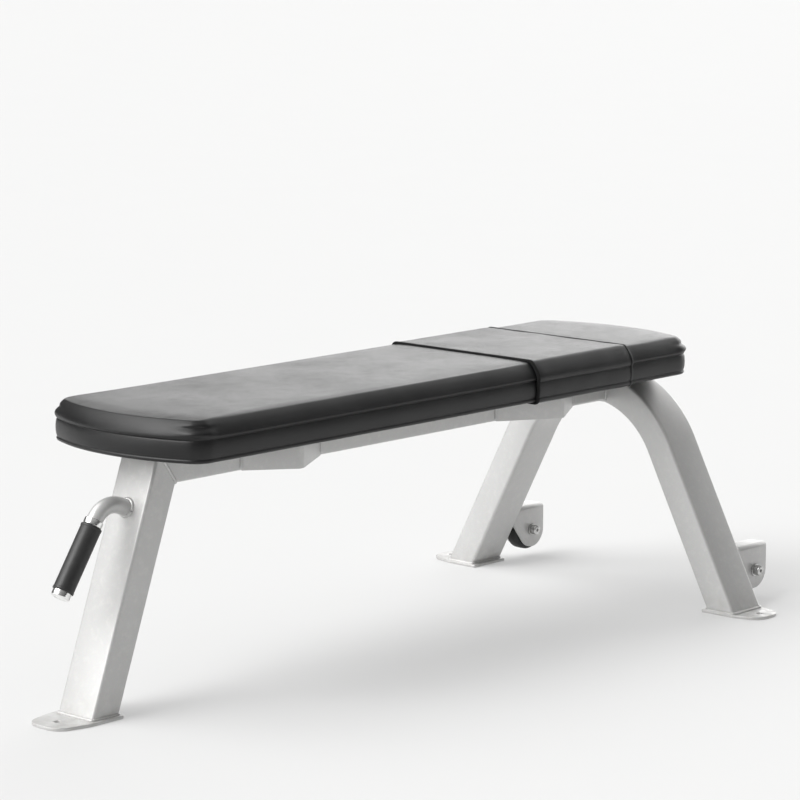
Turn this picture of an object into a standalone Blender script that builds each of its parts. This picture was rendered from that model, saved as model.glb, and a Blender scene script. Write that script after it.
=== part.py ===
"""Flat commercial weight bench: tripod frame of rectangular steel tube, upholstered pad with a slip-on wear
sleeve, two transport wheels behind the rear legs and a rubber-gripped lifting handle on the front leg.

Metres, +Z up, +X towards the wheel end, origin on the floor at the middle of the bench's bounding box."""

from math import acos, cos, pi, radians, sin, sqrt, tan

import bmesh
import bpy
from mathutils import Matrix, Vector

GAP = 0.0003  # between pieces that touch
SIDES = ((1, "left"), (-1, "right"))
FASTENER_SIDES, TURNED_SIDES, BEARING_SIDES = 16, 24, 36

# Overall
HALF_LENGTH = 0.7060
PAD_TOP = 0.4480
PAD_BOTTOM = 0.3850

# Rectangular steel tube, 3 x 2 in
TUBE_WIDE = 0.0762
TUBE_DEEP = 0.0508
TUBE_WALL = 0.0030
TUBE_CORNER = 0.0050
TUBE_TOP = PAD_BOTTOM - GAP
TUBE_BOTTOM = TUBE_TOP - TUBE_DEEP

# Feet: steel plates, barely wider than the legs, with an anchor hole in the tongue that sticks out
PLATE_THICK = 0.0050
LEG_CUT_Z = PLATE_THICK + GAP
ANCHOR_HOLE_R = 0.0055

# Front leg, leaning outwards at the bottom
LEG_LEAN = radians(19.87)
LEG_FRONT_AT_FLOOR = -0.6428
FRONT_PLATE_BACK = -0.5845
FRONT_PLATE_HALF = 0.0460
FRONT_HOLE_X = -0.6752

# Rear legs: one tube bent once, straddling the centre line
ARCH_FRONT = 0.5435
ARCH_MIDDLE = ARCH_FRONT + TUBE_WIDE / 2
ARCH_BACK = ARCH_FRONT + TUBE_WIDE
ARCH_INNER_R = 0.1446
ARCH_R = ARCH_INNER_R + TUBE_DEEP / 2
ARCH_CENTRE_Z = TUBE_BOTTOM - ARCH_INNER_R
ARCH_HALF_TURN = radians(62.6)
REAR_PLATE_INNER = 0.2500
REAR_PLATE_TIP = 0.3625
REAR_PLATE_HALF = 0.0415
REAR_HOLE_Y = 0.3400

# Transport wheels
WHEEL_R = 0.0365
WHEEL_WIDE = 0.0250
HUB_R = 0.0220
AXLE_X = HALF_LENGTH - WHEEL_R
AXLE_Y = 0.2460
AXLE_Z = 0.0535
BRACKET_HALF = 0.0193
BRACKET_WALL = 0.0045
BRACKET_TOP = 0.0985
BRACKET_BACK = 0.7005
BRACKET_CUT_Z = 0.0675
BRACKET_NOSE_R = BRACKET_BACK - AXLE_X
BRACKET_BEND_R = 0.0080
BOLT_R = 0.0050
BOLT_CLEAR_R = BOLT_R + GAP
SLEEVE_R = 0.0080
RUNNING_CLEARANCE = 0.00006

# Pad brackets: (root near the handle, tip, root near the wheels, reach from the centre line)
PAD_BRACKETS = {
    "front": (-0.3325, -0.2565, -0.1595, 0.0920),
    "rear": (0.2562, 0.3575, 0.4551, 0.0960),
}
BRACKET_TIP_FLAT = 0.0090
STRIP_THICK = 0.0050
STRIP_INNER_R = 0.0030
PAD_BOLT_Y = 0.0640
PAD_BOLT_R = 0.0040

# Pad: half width and end positions of its widest outline
PAD_HALF = 0.1598
PAD_NEAR_END = -0.5735
PAD_FAR_END = 0.6520
PAD_END_R = 0.3350
PAD_CORNER_R = 0.0360
COVER_THICK = 0.0012
BOARD_THICK = 0.0180
BOARD_BOTTOM = PAD_BOTTOM + COVER_THICK + GAP
BOARD_TOP = BOARD_BOTTOM + BOARD_THICK
SLEEVE_START = 0.2125
SLEEVE_END = 0.4580
WEAR_THICK = 0.0025

# Handle
HANDLE_R = 0.0127
HANDLE_WALL = 0.0025
HANDLE_Z = 0.3015
HANDLE_STUB = 0.0175
HANDLE_BEND_R = 0.0400
HANDLE_DROP = radians(56.3)
COLLAR_LONG = 0.0100
GRIP_LONG = 0.1050
GRIP_R = 0.0164
COLLAR_R = 0.0148


# ---------------------------------------------------------------- scene and materials

def clear_scene():
    for obj in list(bpy.data.objects):
        bpy.data.objects.remove(obj, do_unlink=True)


def new_collection(name):
    collection = bpy.data.collections.new(name)
    bpy.context.scene.collection.children.link(collection)
    return collection


def make_material(name, colour, roughness, metallic):
    material = bpy.data.materials.new(name)
    material.use_nodes = True
    shader = material.node_tree.nodes["Principled BSDF"]
    shader.inputs["Base Color"].default_value = (*colour, 1.0)
    shader.inputs["Roughness"].default_value = roughness
    shader.inputs["Metallic"].default_value = metallic
    return material


clear_scene()
PARTS = new_collection("weight_bench")
CUTTERS = new_collection("cutters")
SILVER = make_material("silver_powder_coat", (0.56, 0.56, 0.55), 0.38, 0.35)
VINYL = make_material("black_vinyl", (0.022, 0.022, 0.023), 0.42, 0.0)
WEAR_VINYL = make_material("wear_vinyl", (0.030, 0.030, 0.031), 0.5, 0.0)
FOAM = make_material("pad_foam", (0.55, 0.53, 0.42), 0.95, 0.0)
PLYWOOD = make_material("plywood", (0.52, 0.37, 0.22), 0.7, 0.0)
BACKING = make_material("backing_cloth", (0.03, 0.03, 0.03), 0.9, 0.0)
RUBBER = make_material("black_rubber", (0.03, 0.03, 0.03), 0.7, 0.0)
TYRE = make_material("wheel_tyre", (0.02, 0.02, 0.02), 0.6, 0.0)
NYLON = make_material("wheel_hub", (0.05, 0.05, 0.05), 0.45, 0.0)
ZINC = make_material("zinc_steel", (0.66, 0.66, 0.66), 0.3, 1.0)
POLISHED = make_material("polished_aluminium", (0.86, 0.86, 0.86), 0.15, 1.0)


# ---------------------------------------------------------------- objects

def add_object(name, mesh, material=None, collection=PARTS):
    """A part with its material, or a hidden cutter when it has none."""
    obj = bpy.data.objects.new(name, mesh)
    collection.objects.link(obj)
    if material:
        mesh.materials.clear()
        mesh.materials.append(material)
    return obj


def cutter_of(obj):
    PARTS.objects.unlink(obj)
    CUTTERS.objects.link(obj)
    obj.hide_render = True
    obj.display_type = "WIRE"
    return obj


def shade(mesh, angle=35):
    mesh.shade_smooth()
    mesh.set_sharp_from_angle(angle=radians(angle))


def evaluated_mesh(obj):
    bpy.context.view_layer.update()
    graph = bpy.context.evaluated_depsgraph_get()
    return bpy.data.meshes.new_from_object(obj.evaluated_get(graph))


def settle(obj, angle=35):
    """Turns the object's modifiers into its own mesh."""
    mesh = evaluated_mesh(obj)
    mesh.name = obj.name
    obj.modifiers.clear()
    obj.data = mesh
    shade(mesh, angle)
    return obj


def boolean(obj, other, operation):
    modifier = obj.modifiers.new(operation.lower(), "BOOLEAN")
    modifier.operation = operation
    modifier.object = cutter_of(other)
    return obj


def copy_of(obj, name, location):
    twin = add_object(name, obj.data)
    twin.rotation_euler = obj.rotation_euler
    twin.location = location
    return twin


# ---------------------------------------------------------------- shapes

def round_polygon(corners, radii, steps=5):
    """The corners, walked anticlockwise or clockwise, each turned into an arc of its own radius."""
    points = []
    for i, corner in enumerate(corners):
        here = Vector(corner)
        before = (Vector(corners[i - 1]) - here).normalized()
        after = (Vector(corners[(i + 1) % len(corners)]) - here).normalized()
        radius = radii[i] if isinstance(radii, (list, tuple)) else radii
        if radius <= 0:
            points.append(here)
            continue
        half = acos(max(-1.0, min(1.0, before.dot(after)))) / 2
        middle = (before + after).normalized()
        centre = here + middle * radius / sin(half)
        first = here + before * radius / tan(half) - centre
        last = here + after * radius / tan(half) - centre
        turn = first.angle_signed(last)
        for step in range(steps + 1):
            angle = -turn * step / steps
            points.append(centre + Vector((first.x * cos(angle) - first.y * sin(angle),
                                           first.x * sin(angle) + first.y * cos(angle))))
    return points


def circle(radius, count, centre=(0.0, 0.0)):
    return [Vector((centre[0] + radius * cos(2 * pi * i / count),
                    centre[1] + radius * sin(2 * pi * i / count))) for i in range(count)]


def rectangle(wide, deep, corner, steps=2):
    x, y = wide / 2, deep / 2
    return round_polygon([(-x, -y), (x, -y), (x, y), (-x, y)], corner, steps)


def hexagon(across_flats):
    return circle(across_flats / sqrt(3), 6)


def plate(name, loops, thickness, material):
    """Flat outlines, holes included, extruded from z = 0 to the thickness."""
    curve = bpy.data.curves.new(name, "CURVE")
    curve.dimensions = "2D"
    curve.fill_mode = "BOTH"
    curve.extrude = thickness / 2
    for loop in loops:
        spline = curve.splines.new("POLY")
        spline.points.add(len(loop) - 1)
        for point, corner in zip(spline.points, loop):
            point.co = (corner[0], corner[1], 0.0, 1.0)
        spline.use_cyclic_u = True
    source = bpy.data.objects.new(name, curve)
    CUTTERS.objects.link(source)
    mesh = evaluated_mesh(source)
    bpy.data.objects.remove(source)
    build = bmesh.new()
    build.from_mesh(mesh)
    bmesh.ops.remove_doubles(build, verts=build.verts, dist=1e-6)
    bmesh.ops.translate(build, verts=build.verts, vec=(0, 0, thickness / 2))
    bmesh.ops.recalc_face_normals(build, faces=build.faces)
    build.to_mesh(mesh)
    build.free()
    mesh.name = name
    shade(mesh)
    return add_object(name, mesh, material)


def turned(name, profile, material, steps=TURNED_SIDES):
    """A (radius, height) profile round Z: down the outside, and back up the inside if it is a ring."""
    ring = all(radius > 0 for radius, _ in profile)
    mesh = bpy.data.meshes.new(name)
    edges = [(i, i + 1) for i in range(len(profile) - 1)]
    if ring:
        edges.append((len(profile) - 1, 0))
    mesh.from_pydata([(radius, 0.0, height) for radius, height in profile], edges, [])
    obj = add_object(name, mesh, material)
    screw = obj.modifiers.new("turn", "SCREW")
    screw.steps = screw.render_steps = steps
    screw.use_merge_vertices = True
    screw.merge_threshold = 1e-6
    settle(obj)
    obj.data.materials.clear()
    obj.data.materials.append(material)
    return obj


def loft(name, rings, material, wrap=False, caps=True, angle=35):
    """Rings with the same number of points, joined in order; wrap joins the last ring to the first."""
    build = bmesh.new()
    verts = [[build.verts.new(point) for point in ring] for ring in rings]
    pairs = list(zip(verts, verts[1:]))
    if wrap:
        pairs.append((verts[-1], verts[0]))
    for low, high in pairs:
        for i in range(len(low)):
            j = (i + 1) % len(low)
            build.faces.new((low[i], low[j], high[j], high[i]))
    if caps and not wrap:
        build.faces.new(verts[0])
        build.faces.new(verts[-1])
    bmesh.ops.recalc_face_normals(build, faces=build.faces)
    mesh = bpy.data.meshes.new(name)
    build.to_mesh(mesh)
    build.free()
    shade(mesh, angle)
    return add_object(name, mesh, material)


def tube(name, stations, outer, inner, material, angle=35):
    """A hollow tube through stations (origin, sideways, upwards), each of which holds both sections."""
    def placed(section, station):
        origin, sideways, upwards = (Vector(v) for v in station)
        return [origin + sideways * point[0] + upwards * point[1] for point in section]
    rings = [placed(outer, station) for station in stations]
    rings += [placed(inner, station) for station in reversed(stations)]
    return loft(name, rings, material, wrap=True, angle=angle)


def box_tube(name, stations, material=SILVER):
    outer = rectangle(TUBE_WIDE, TUBE_DEEP, TUBE_CORNER)
    inner = rectangle(TUBE_WIDE - 2 * TUBE_WALL, TUBE_DEEP - 2 * TUBE_WALL, TUBE_CORNER - TUBE_WALL)
    return tube(name, stations, outer, inner, material)


def cut_square(direction, along, normal):
    """The section direction, slid along the tube until it lies in the plane of the cut."""
    direction, along, normal = Vector(direction), Vector(along), Vector(normal)
    return direction - along * direction.dot(normal) / along.dot(normal)


# ---------------------------------------------------------------- frame

def leg_front(z):
    return LEG_FRONT_AT_FLOOR + z * tan(LEG_LEAN)


LEG_ALONG = Vector((sin(LEG_LEAN), 0.0, cos(LEG_LEAN)))
LEG_OUT = Vector((-cos(LEG_LEAN), 0.0, sin(LEG_LEAN)))
LEG_DEPTH_X = TUBE_DEEP / cos(LEG_LEAN)
MITRE_HIGH = Vector((leg_front(TUBE_TOP), 0.0, TUBE_TOP))
MITRE_LOW = Vector((leg_front(TUBE_BOTTOM) + LEG_DEPTH_X, 0.0, TUBE_BOTTOM))
MITRE_MIDDLE = (MITRE_HIGH + MITRE_LOW) / 2
MITRE_NORMAL = (MITRE_HIGH - MITRE_LOW).cross(Vector((0, 1, 0))).normalized()


def add_spine():
    along = Vector((1, 0, 0))
    near = MITRE_MIDDLE + along * GAP
    far = Vector((ARCH_FRONT - GAP, 0.0, MITRE_MIDDLE.z))
    box_tube("spine_tube", [
        (near, (0, 1, 0), cut_square((0, 0, 1), along, MITRE_NORMAL)),
        (far, (0, 1, 0), (0, 0, 1)),
    ])


def add_front_leg():
    foot = Vector((leg_front(LEG_CUT_Z) + LEG_DEPTH_X / 2, 0.0, LEG_CUT_Z))
    box_tube("front_leg_tube", [
        (foot, (0, 1, 0), cut_square(LEG_OUT, LEG_ALONG, (0, 0, 1))),
        (MITRE_MIDDLE, (0, 1, 0), cut_square(LEG_OUT, LEG_ALONG, MITRE_NORMAL)),
    ])


def arch_station(angle):
    outward = Vector((0, sin(angle), cos(angle)))
    return (Vector((ARCH_MIDDLE, 0, ARCH_CENTRE_Z)) + outward * ARCH_R, (1, 0, 0), outward)


def arch_foot(side):
    """The floor end of one leg: straight on from the bend, cut level with its foot plate."""
    origin, _, outward = arch_station(side * ARCH_HALF_TURN)
    along = Vector((0, side * cos(ARCH_HALF_TURN), -sin(ARCH_HALF_TURN)))
    reach = (LEG_CUT_Z - origin.z) / along.z
    return (origin + along * reach, (1, 0, 0), cut_square(outward, along, (0, 0, 1)))


def add_rear_legs():
    steps = 16
    bend = [arch_station(ARCH_HALF_TURN * (2 * i / steps - 1)) for i in range(steps + 1)]
    box_tube("rear_leg_arch", [arch_foot(-1), *bend, arch_foot(1)])


def foot_outline(back, tip, half):
    """Plan of a foot plate that points along +X from its square back edge to its rounded tip."""
    taper, shoulder = 0.72, back + 0.55 * (tip - back)
    corners = [(back, -half), (shoulder, -half), (tip, -half * taper),
               (tip, half * taper), (shoulder, half), (back, half)]
    return round_polygon(corners, [0.004, 0.060, 0.028, 0.028, 0.060, 0.004])


def add_foot(name, x, turn, outline, hole_at):
    """A steel plate with an anchor hole, turned about the point (x, 0)."""
    hole = circle(ANCHOR_HOLE_R, FASTENER_SIDES, (hole_at, 0.0))
    piece = plate(name, [foot_outline(*outline), hole], PLATE_THICK, SILVER)
    piece.location.x = x
    piece.rotation_euler.z = turn


def add_feet():
    add_foot("front_foot_plate", 0, pi, (-FRONT_PLATE_BACK, HALF_LENGTH, FRONT_PLATE_HALF), -FRONT_HOLE_X)
    for side, word in SIDES:
        outline = (REAR_PLATE_INNER, REAR_PLATE_TIP, REAR_PLATE_HALF)
        add_foot(f"rear_foot_plate_{word}", ARCH_MIDDLE, side * pi / 2, outline, REAR_HOLE_Y)


# ---------------------------------------------------------------- pad brackets

def shifted(line, distance):
    """An open line moved to its right by a distance, its bends kept sharp."""
    moved = []
    for i, here in enumerate(line):
        near = line[max(i - 1, 0):i + 2]
        rights = [Vector((b.y - a.y, a.x - b.x)).normalized() for a, b in zip(near, near[1:])]
        middle = sum(rights, Vector((0, 0))).normalized()
        moved.append(here + middle * distance / middle.dot(rights[0]))
    return moved


def ended_at(line, y):
    """The line with its two end points slid along their own runs to a height."""
    ends = []
    for end, inside in ((line[0], line[1]), (line[-1], line[-2])):
        run = inside - end
        ends.append(end + run * (y - end.y) / run.y)
    return [ends[0], *line[1:-1], ends[1]]


def bracket_line(end, inset):
    """The bent strip of a pad bracket in plan, on its +Y side, at a depth inside its outer face."""
    near, tip, far, reach = PAD_BRACKETS[end]
    root, flat = TUBE_WIDE / 2 + GAP, BRACKET_TIP_FLAT / 2
    outer = [Vector(p) for p in ((near, root), (tip - flat, reach), (tip + flat, reach), (far, root))]
    return ended_at(shifted(outer, inset), root)


def on_side(side, points):
    return [Vector((p.x, side * p.y)) for p in points]


def add_pad_brackets():
    """Under the pad, at each end and on each side: a bent strip, and a plate that roofs it over."""
    for end in PAD_BRACKETS:
        for side, word in SIDES:
            strip = on_side(side, bracket_line(end, 0.0) + bracket_line(end, STRIP_THICK)[::-1])
            radii = [0, BRACKET_BEND_R, BRACKET_BEND_R, 0, 0, STRIP_INNER_R, STRIP_INNER_R, 0]
            wing = plate(f"{end}_bracket_wing_{word}", [round_polygon(strip, radii, 3)], TUBE_DEEP, SILVER)
            wing.location.z = TUBE_BOTTOM
            roof = on_side(side, bracket_line(end, STRIP_THICK + GAP))
            hole = circle(PAD_BOLT_R + GAP, FASTENER_SIDES, (PAD_BRACKETS[end][1], side * PAD_BOLT_Y))
            rounded = round_polygon(roof, [0, STRIP_INNER_R, STRIP_INNER_R, 0], 3)
            top = plate(f"{end}_bracket_plate_{word}", [rounded, hole], STRIP_THICK, SILVER)
            top.location.z = TUBE_TOP - STRIP_THICK


def add_pad_fasteners():
    """At each pad bracket: a bolt with its washer from below, and a tee nut in the plywood."""
    under = TUBE_TOP - STRIP_THICK - GAP
    washer_thick, head_thick, shank = 0.0016, 0.0053, 0.0250
    bolt = turned("pad_bolt", [(0, shank), (PAD_BOLT_R - 0.001, shank), (PAD_BOLT_R, shank - 0.001),
                               (PAD_BOLT_R, -0.002), (0, -0.002)], ZINC, FASTENER_SIDES)
    boolean(bolt, plate("pad_bolt_head", [hexagon(0.013)], head_thick, ZINC), "UNION")
    bolt.modifiers["union"].object.location.z = -head_thick
    settle(bolt)
    washer = turned("pad_washer", ring_profile(PAD_BOLT_R + GAP, 0.0085, washer_thick), ZINC, FASTENER_SIDES)
    barrel_r, flange_r, flange, deep = 0.0055, 0.0110, 0.0015, 0.0120
    nut = turned("tee_nut", [(flange_r, 0), (flange_r, -flange), (barrel_r, -flange), (barrel_r, -deep),
                             (PAD_BOLT_R + GAP, -deep), (PAD_BOLT_R + GAP, 0)], ZINC, FASTENER_SIDES)
    for end in PAD_BRACKETS:
        for side, word in SIDES:
            x, y = PAD_BRACKETS[end][1], side * PAD_BOLT_Y
            copy_of(washer, f"{end}_pad_washer_{word}", (x, y, under - washer_thick))
            copy_of(bolt, f"{end}_pad_bolt_{word}", (x, y, under - washer_thick - GAP))
            copy_of(nut, f"{end}_tee_nut_{word}", (x, y, BOARD_TOP - GAP))
    for helper in (bolt, washer, nut):
        bpy.data.objects.remove(helper)


def ring_profile(inner, outer, thick):
    return [(outer, thick), (outer, 0), (inner, 0), (inner, thick)]


# ---------------------------------------------------------------- transport wheels

def side_plate_outline():
    """Side of a wheel bracket in X and Z: level top, upright back, round nose, slanting front."""
    front = ARCH_BACK + GAP
    points = [(front, BRACKET_TOP), (BRACKET_BACK, BRACKET_TOP)]
    reach = Vector((front - AXLE_X, BRACKET_CUT_Z - AXLE_Z))
    tangent = Vector((1, 0)).angle_signed(reach) * -1 + acos(BRACKET_NOSE_R / reach.length)
    if tangent < 0:
        tangent += 2 * pi
    steps = 12
    for i in range(steps + 1):
        angle = 2 * pi - i * (2 * pi - tangent) / steps
        points.append((AXLE_X + BRACKET_NOSE_R * cos(angle), AXLE_Z + BRACKET_NOSE_R * sin(angle)))
    points.append((front, BRACKET_CUT_Z))
    return points


def add_wheel_bracket(word, side):
    """A folded channel, open underneath: its section runs along X, and both cheeks are cut to outline."""
    half, wall, bend = BRACKET_HALF, BRACKET_WALL, BRACKET_BEND_R
    low = AXLE_Z - BRACKET_NOSE_R - 0.002
    outer = round_polygon([(-half, low), (-half, BRACKET_TOP), (half, BRACKET_TOP), (half, low)],
                          [0, bend, bend, 0], 5)
    inner = round_polygon([(half - wall, low), (half - wall, BRACKET_TOP - wall),
                           (wall - half, BRACKET_TOP - wall), (wall - half, low)],
                          [0, bend - wall, bend - wall, 0], 5)
    front, back = ARCH_BACK + GAP, BRACKET_BACK
    channel = plate(f"wheel_bracket_{word}", [outer + inner], back - front, SILVER)
    channel.data.transform(section_to_world(front))
    channel.location.y = side * AXLE_Y
    keep = plate(f"bracket_keep_{word}", [side_plate_outline()], 0.1, SILVER)
    keep.rotation_euler = (pi / 2, 0, 0)
    keep.location = (0, side * AXLE_Y + 0.05, 0)
    boolean(channel, keep, "INTERSECT")
    hole = plate(f"bracket_hole_{word}", [circle(BOLT_CLEAR_R, TURNED_SIDES, (AXLE_X, AXLE_Z))], 0.1, SILVER)
    hole.rotation_euler = (pi / 2, 0, 0)
    hole.location = (0, side * AXLE_Y + 0.05, 0)
    boolean(channel, hole, "DIFFERENCE")


def section_to_world(start):
    """Takes a section drawn in (Y, Z) and extruded along its third axis to one extruded along world X."""
    return Matrix(((0, 0, 1, start), (1, 0, 0, 0), (0, 1, 0, 0), (0, 0, 0, 1)))


def wheel_pieces():
    """Pieces of one wheel set, each turned about Z with the middle of the wheel at z = 0."""
    half = WHEEL_WIDE / 2
    bore_r = SLEEVE_R + RUNNING_CLEARANCE
    inside = BRACKET_HALF - BRACKET_WALL
    shoulder = 0.0035
    tyre = turned("tyre", [(WHEEL_R - shoulder, half), (WHEEL_R, half - shoulder), (WHEEL_R, shoulder - half),
                           (WHEEL_R - shoulder, -half), (HUB_R + GAP, -half), (HUB_R + GAP, half)],
                  TYRE, BEARING_SIDES)
    boss = inside - 0.0008
    web = 0.0060
    hub = turned("hub", [(bore_r + 0.005, boss), (bore_r + 0.006, web), (HUB_R - 0.003, web), (HUB_R, half),
                         (HUB_R, -half), (HUB_R - 0.003, -web), (bore_r + 0.006, -web),
                         (bore_r + 0.005, -boss), (bore_r, -boss), (bore_r, boss)],
                 NYLON, BEARING_SIDES)
    span = inside - GAP
    sleeve = turned("sleeve", [(SLEEVE_R, span), (SLEEVE_R, -span), (BOLT_CLEAR_R, -span), (BOLT_CLEAR_R, span)],
                    ZINC, BEARING_SIDES)
    return tyre, hub, sleeve


def fastener_pieces():
    """Axle bolt with a socket in its head at +z, its two washers and its lock nut."""
    face = BRACKET_HALF + GAP
    washer_thick, head_r, head_long = 0.0020, 0.0085, 0.0100
    nut_long, collar_long, nut_flats = 0.0080, 0.0025, 0.0170
    head_at = face + washer_thick + GAP
    end_at = -(head_at + nut_long + collar_long + 0.002)
    bolt = turned("bolt", [(0, head_at + head_long), (head_r - 0.001, head_at + head_long),
                           (head_r, head_at + head_long - 0.001), (head_r, head_at), (BOLT_R, head_at),
                           (BOLT_R, end_at + 0.001), (BOLT_R - 0.001, end_at), (0, end_at)], ZINC)
    socket = plate("bolt_socket", [hexagon(0.008)], 0.01, ZINC)
    socket.location.z = head_at + head_long - 0.0055
    boolean(bolt, socket, "DIFFERENCE")
    settle(bolt)
    washer = turned("washer", ring_profile(BOLT_CLEAR_R, 0.0105, washer_thick), ZINC)
    nut = plate("nut", [hexagon(nut_flats), circle(BOLT_CLEAR_R, FASTENER_SIDES)], nut_long, ZINC)
    collar = turned("nut_collar", [(0.0066, collar_long), (0.0075, -0.001),
                                   (BOLT_CLEAR_R, -0.001), (BOLT_CLEAR_R, collar_long)], ZINC, FASTENER_SIDES)
    collar.data.transform(Matrix.Translation((0, 0, nut_long)))
    boolean(nut, collar, "UNION")
    settle(nut)
    nut.data.transform(Matrix.Rotation(pi, 4, "X"))
    return bolt, washer, nut, face, head_at, washer_thick


def add_wheels():
    tyre, hub, sleeve = wheel_pieces()
    bolt, washer, nut, face, head_at, washer_thick = fastener_pieces()
    for side, word in SIDES:
        add_wheel_bracket(word, side)
        axle = bpy.data.objects.new(f"axle_{word}", None)
        PARTS.objects.link(axle)
        axle.location = (AXLE_X, side * AXLE_Y, AXLE_Z)
        axle.rotation_euler = (pi / 2, 0, 0)
        for source, name, z in (
                (tyre, "wheel_tyre", 0), (hub, "wheel_hub", 0), (sleeve, "axle_sleeve", 0), (bolt, "axle_bolt", 0),
                (washer, "axle_head_washer", face), (washer, "axle_nut_washer", -face - washer_thick),
                (nut, "axle_nut", -head_at)):
            piece = copy_of(source, f"{name}_{word}", (0, 0, z))
            piece.parent = axle
    for helper in (tyre, hub, sleeve, bolt, washer, nut):
        bpy.data.objects.remove(helper)


# ---------------------------------------------------------------- handle

def handle_stations():
    """Square out of the leg, round the bend, and down to the end of the grip."""
    root = Vector((leg_front(HANDLE_Z), 0, HANDLE_Z)) + LEG_OUT * GAP
    heading = LEG_LEAN
    point = root.copy()

    def direction(angle):
        return Vector((-cos(angle), 0, sin(angle)))

    def station(at, angle):
        return (at.copy(), (0, 1, 0), Vector((sin(angle), 0, cos(angle))))
    stations = [station(point, heading)]
    point += direction(heading) * HANDLE_STUB
    centre = point - Vector((sin(heading), 0, cos(heading))) * HANDLE_BEND_R
    steps = 9
    for i in range(steps + 1):
        angle = heading - (heading + HANDLE_DROP) * i / steps
        point = centre + Vector((sin(angle), 0, cos(angle))) * HANDLE_BEND_R
        stations.append(station(point, angle))
    down = direction(-HANDLE_DROP)
    bend_end = point.copy()
    tube_end = bend_end + down * (COLLAR_LONG + 2 * GAP + GRIP_LONG)
    stations.append(station(tube_end, -HANDLE_DROP))
    return stations, bend_end, down


def add_handle():
    stations, bend_end, down = handle_stations()
    tube("handle_tube", stations, circle(HANDLE_R, TURNED_SIDES),
         circle(HANDLE_R - HANDLE_WALL, TURNED_SIDES), SILVER)
    tilt = (0, pi + (pi / 2 - HANDLE_DROP), 0)
    bore = HANDLE_R + GAP
    collar = turned("grip_collar", [(COLLAR_R - 0.0012, COLLAR_LONG), (COLLAR_R, COLLAR_LONG - 0.0012),
                                    (COLLAR_R, 0.0015), (COLLAR_R - 0.0015, 0), (bore, 0), (bore, COLLAR_LONG)],
                    POLISHED)
    collar.location = bend_end
    grip = turned("handle_grip", [(GRIP_R - 0.001, GRIP_LONG), (GRIP_R, GRIP_LONG - 0.001), (GRIP_R, 0.001),
                                  (GRIP_R - 0.001, 0), (bore, 0), (bore, GRIP_LONG)], RUBBER)
    grip.location = bend_end + down * (COLLAR_LONG + GAP)
    cap_long, plug_r, plug_long = 0.0100, HANDLE_R - HANDLE_WALL - GAP, 0.0150
    cap = turned("handle_end_cap", [(0, cap_long), (COLLAR_R - 0.0025, cap_long), (COLLAR_R, cap_long - 0.0025),
                                    (COLLAR_R, 0), (plug_r, 0), (plug_r, -plug_long), (0, -plug_long)],
                 POLISHED)
    cap.location = bend_end + down * (COLLAR_LONG + 3 * GAP + GRIP_LONG)
    for piece in (collar, grip, cap):
        piece.rotation_euler = tilt


# ---------------------------------------------------------------- pad

def pad_ring(inset, z):
    """The pad's plan at one height: straight sides, bowed ends, round corners, moved in by the inset."""
    half, end_r, corner_r = PAD_HALF - inset, PAD_END_R - inset, PAD_CORNER_R - inset
    corner_steps, end_steps = 4, 6
    points = []
    for sign, tip in ((1, PAD_FAR_END), (-1, PAD_NEAR_END)):
        centre_x = tip - sign * PAD_END_R
        offset_y = PAD_HALF - PAD_CORNER_R
        corner_x = centre_x + sign * sqrt((PAD_END_R - PAD_CORNER_R) ** 2 - offset_y ** 2)
        bow = acos((corner_x - centre_x) * sign / (PAD_END_R - PAD_CORNER_R))
        turn = 0 if sign > 0 else pi
        for i in range(corner_steps + 1):
            angle = turn - pi / 2 + (pi / 2 - bow) * i / corner_steps
            points.append((corner_x + corner_r * cos(angle), -sign * offset_y + corner_r * sin(angle), z))
        for i in range(1, end_steps):
            angle = turn - bow + 2 * bow * i / end_steps
            points.append((centre_x + end_r * cos(angle), end_r * sin(angle), z))
        for i in range(corner_steps + 1):
            angle = turn + bow + (pi / 2 - bow) * i / corner_steps
            points.append((corner_x + corner_r * cos(angle), sign * offset_y + corner_r * sin(angle), z))
    return points


def pad_profile():
    """(inset, height) of the pad's side from its bottom turn-in to the flat top."""
    turn_r = 0.0110
    under = [(turn_r * (1 - sin(pi / 2 * i / 3)), PAD_BOTTOM + turn_r * (1 - cos(pi / 2 * i / 3)))
             for i in range(4)]
    ridge, crease = PAD_TOP - 0.0210, 0.0134
    shoulder = [(crease * (1 - cos(pi / 2 * i / 4)), ridge + (PAD_TOP - ridge) * sin(pi / 2 * i / 4))
                for i in range(5)]
    return under + shoulder


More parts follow.
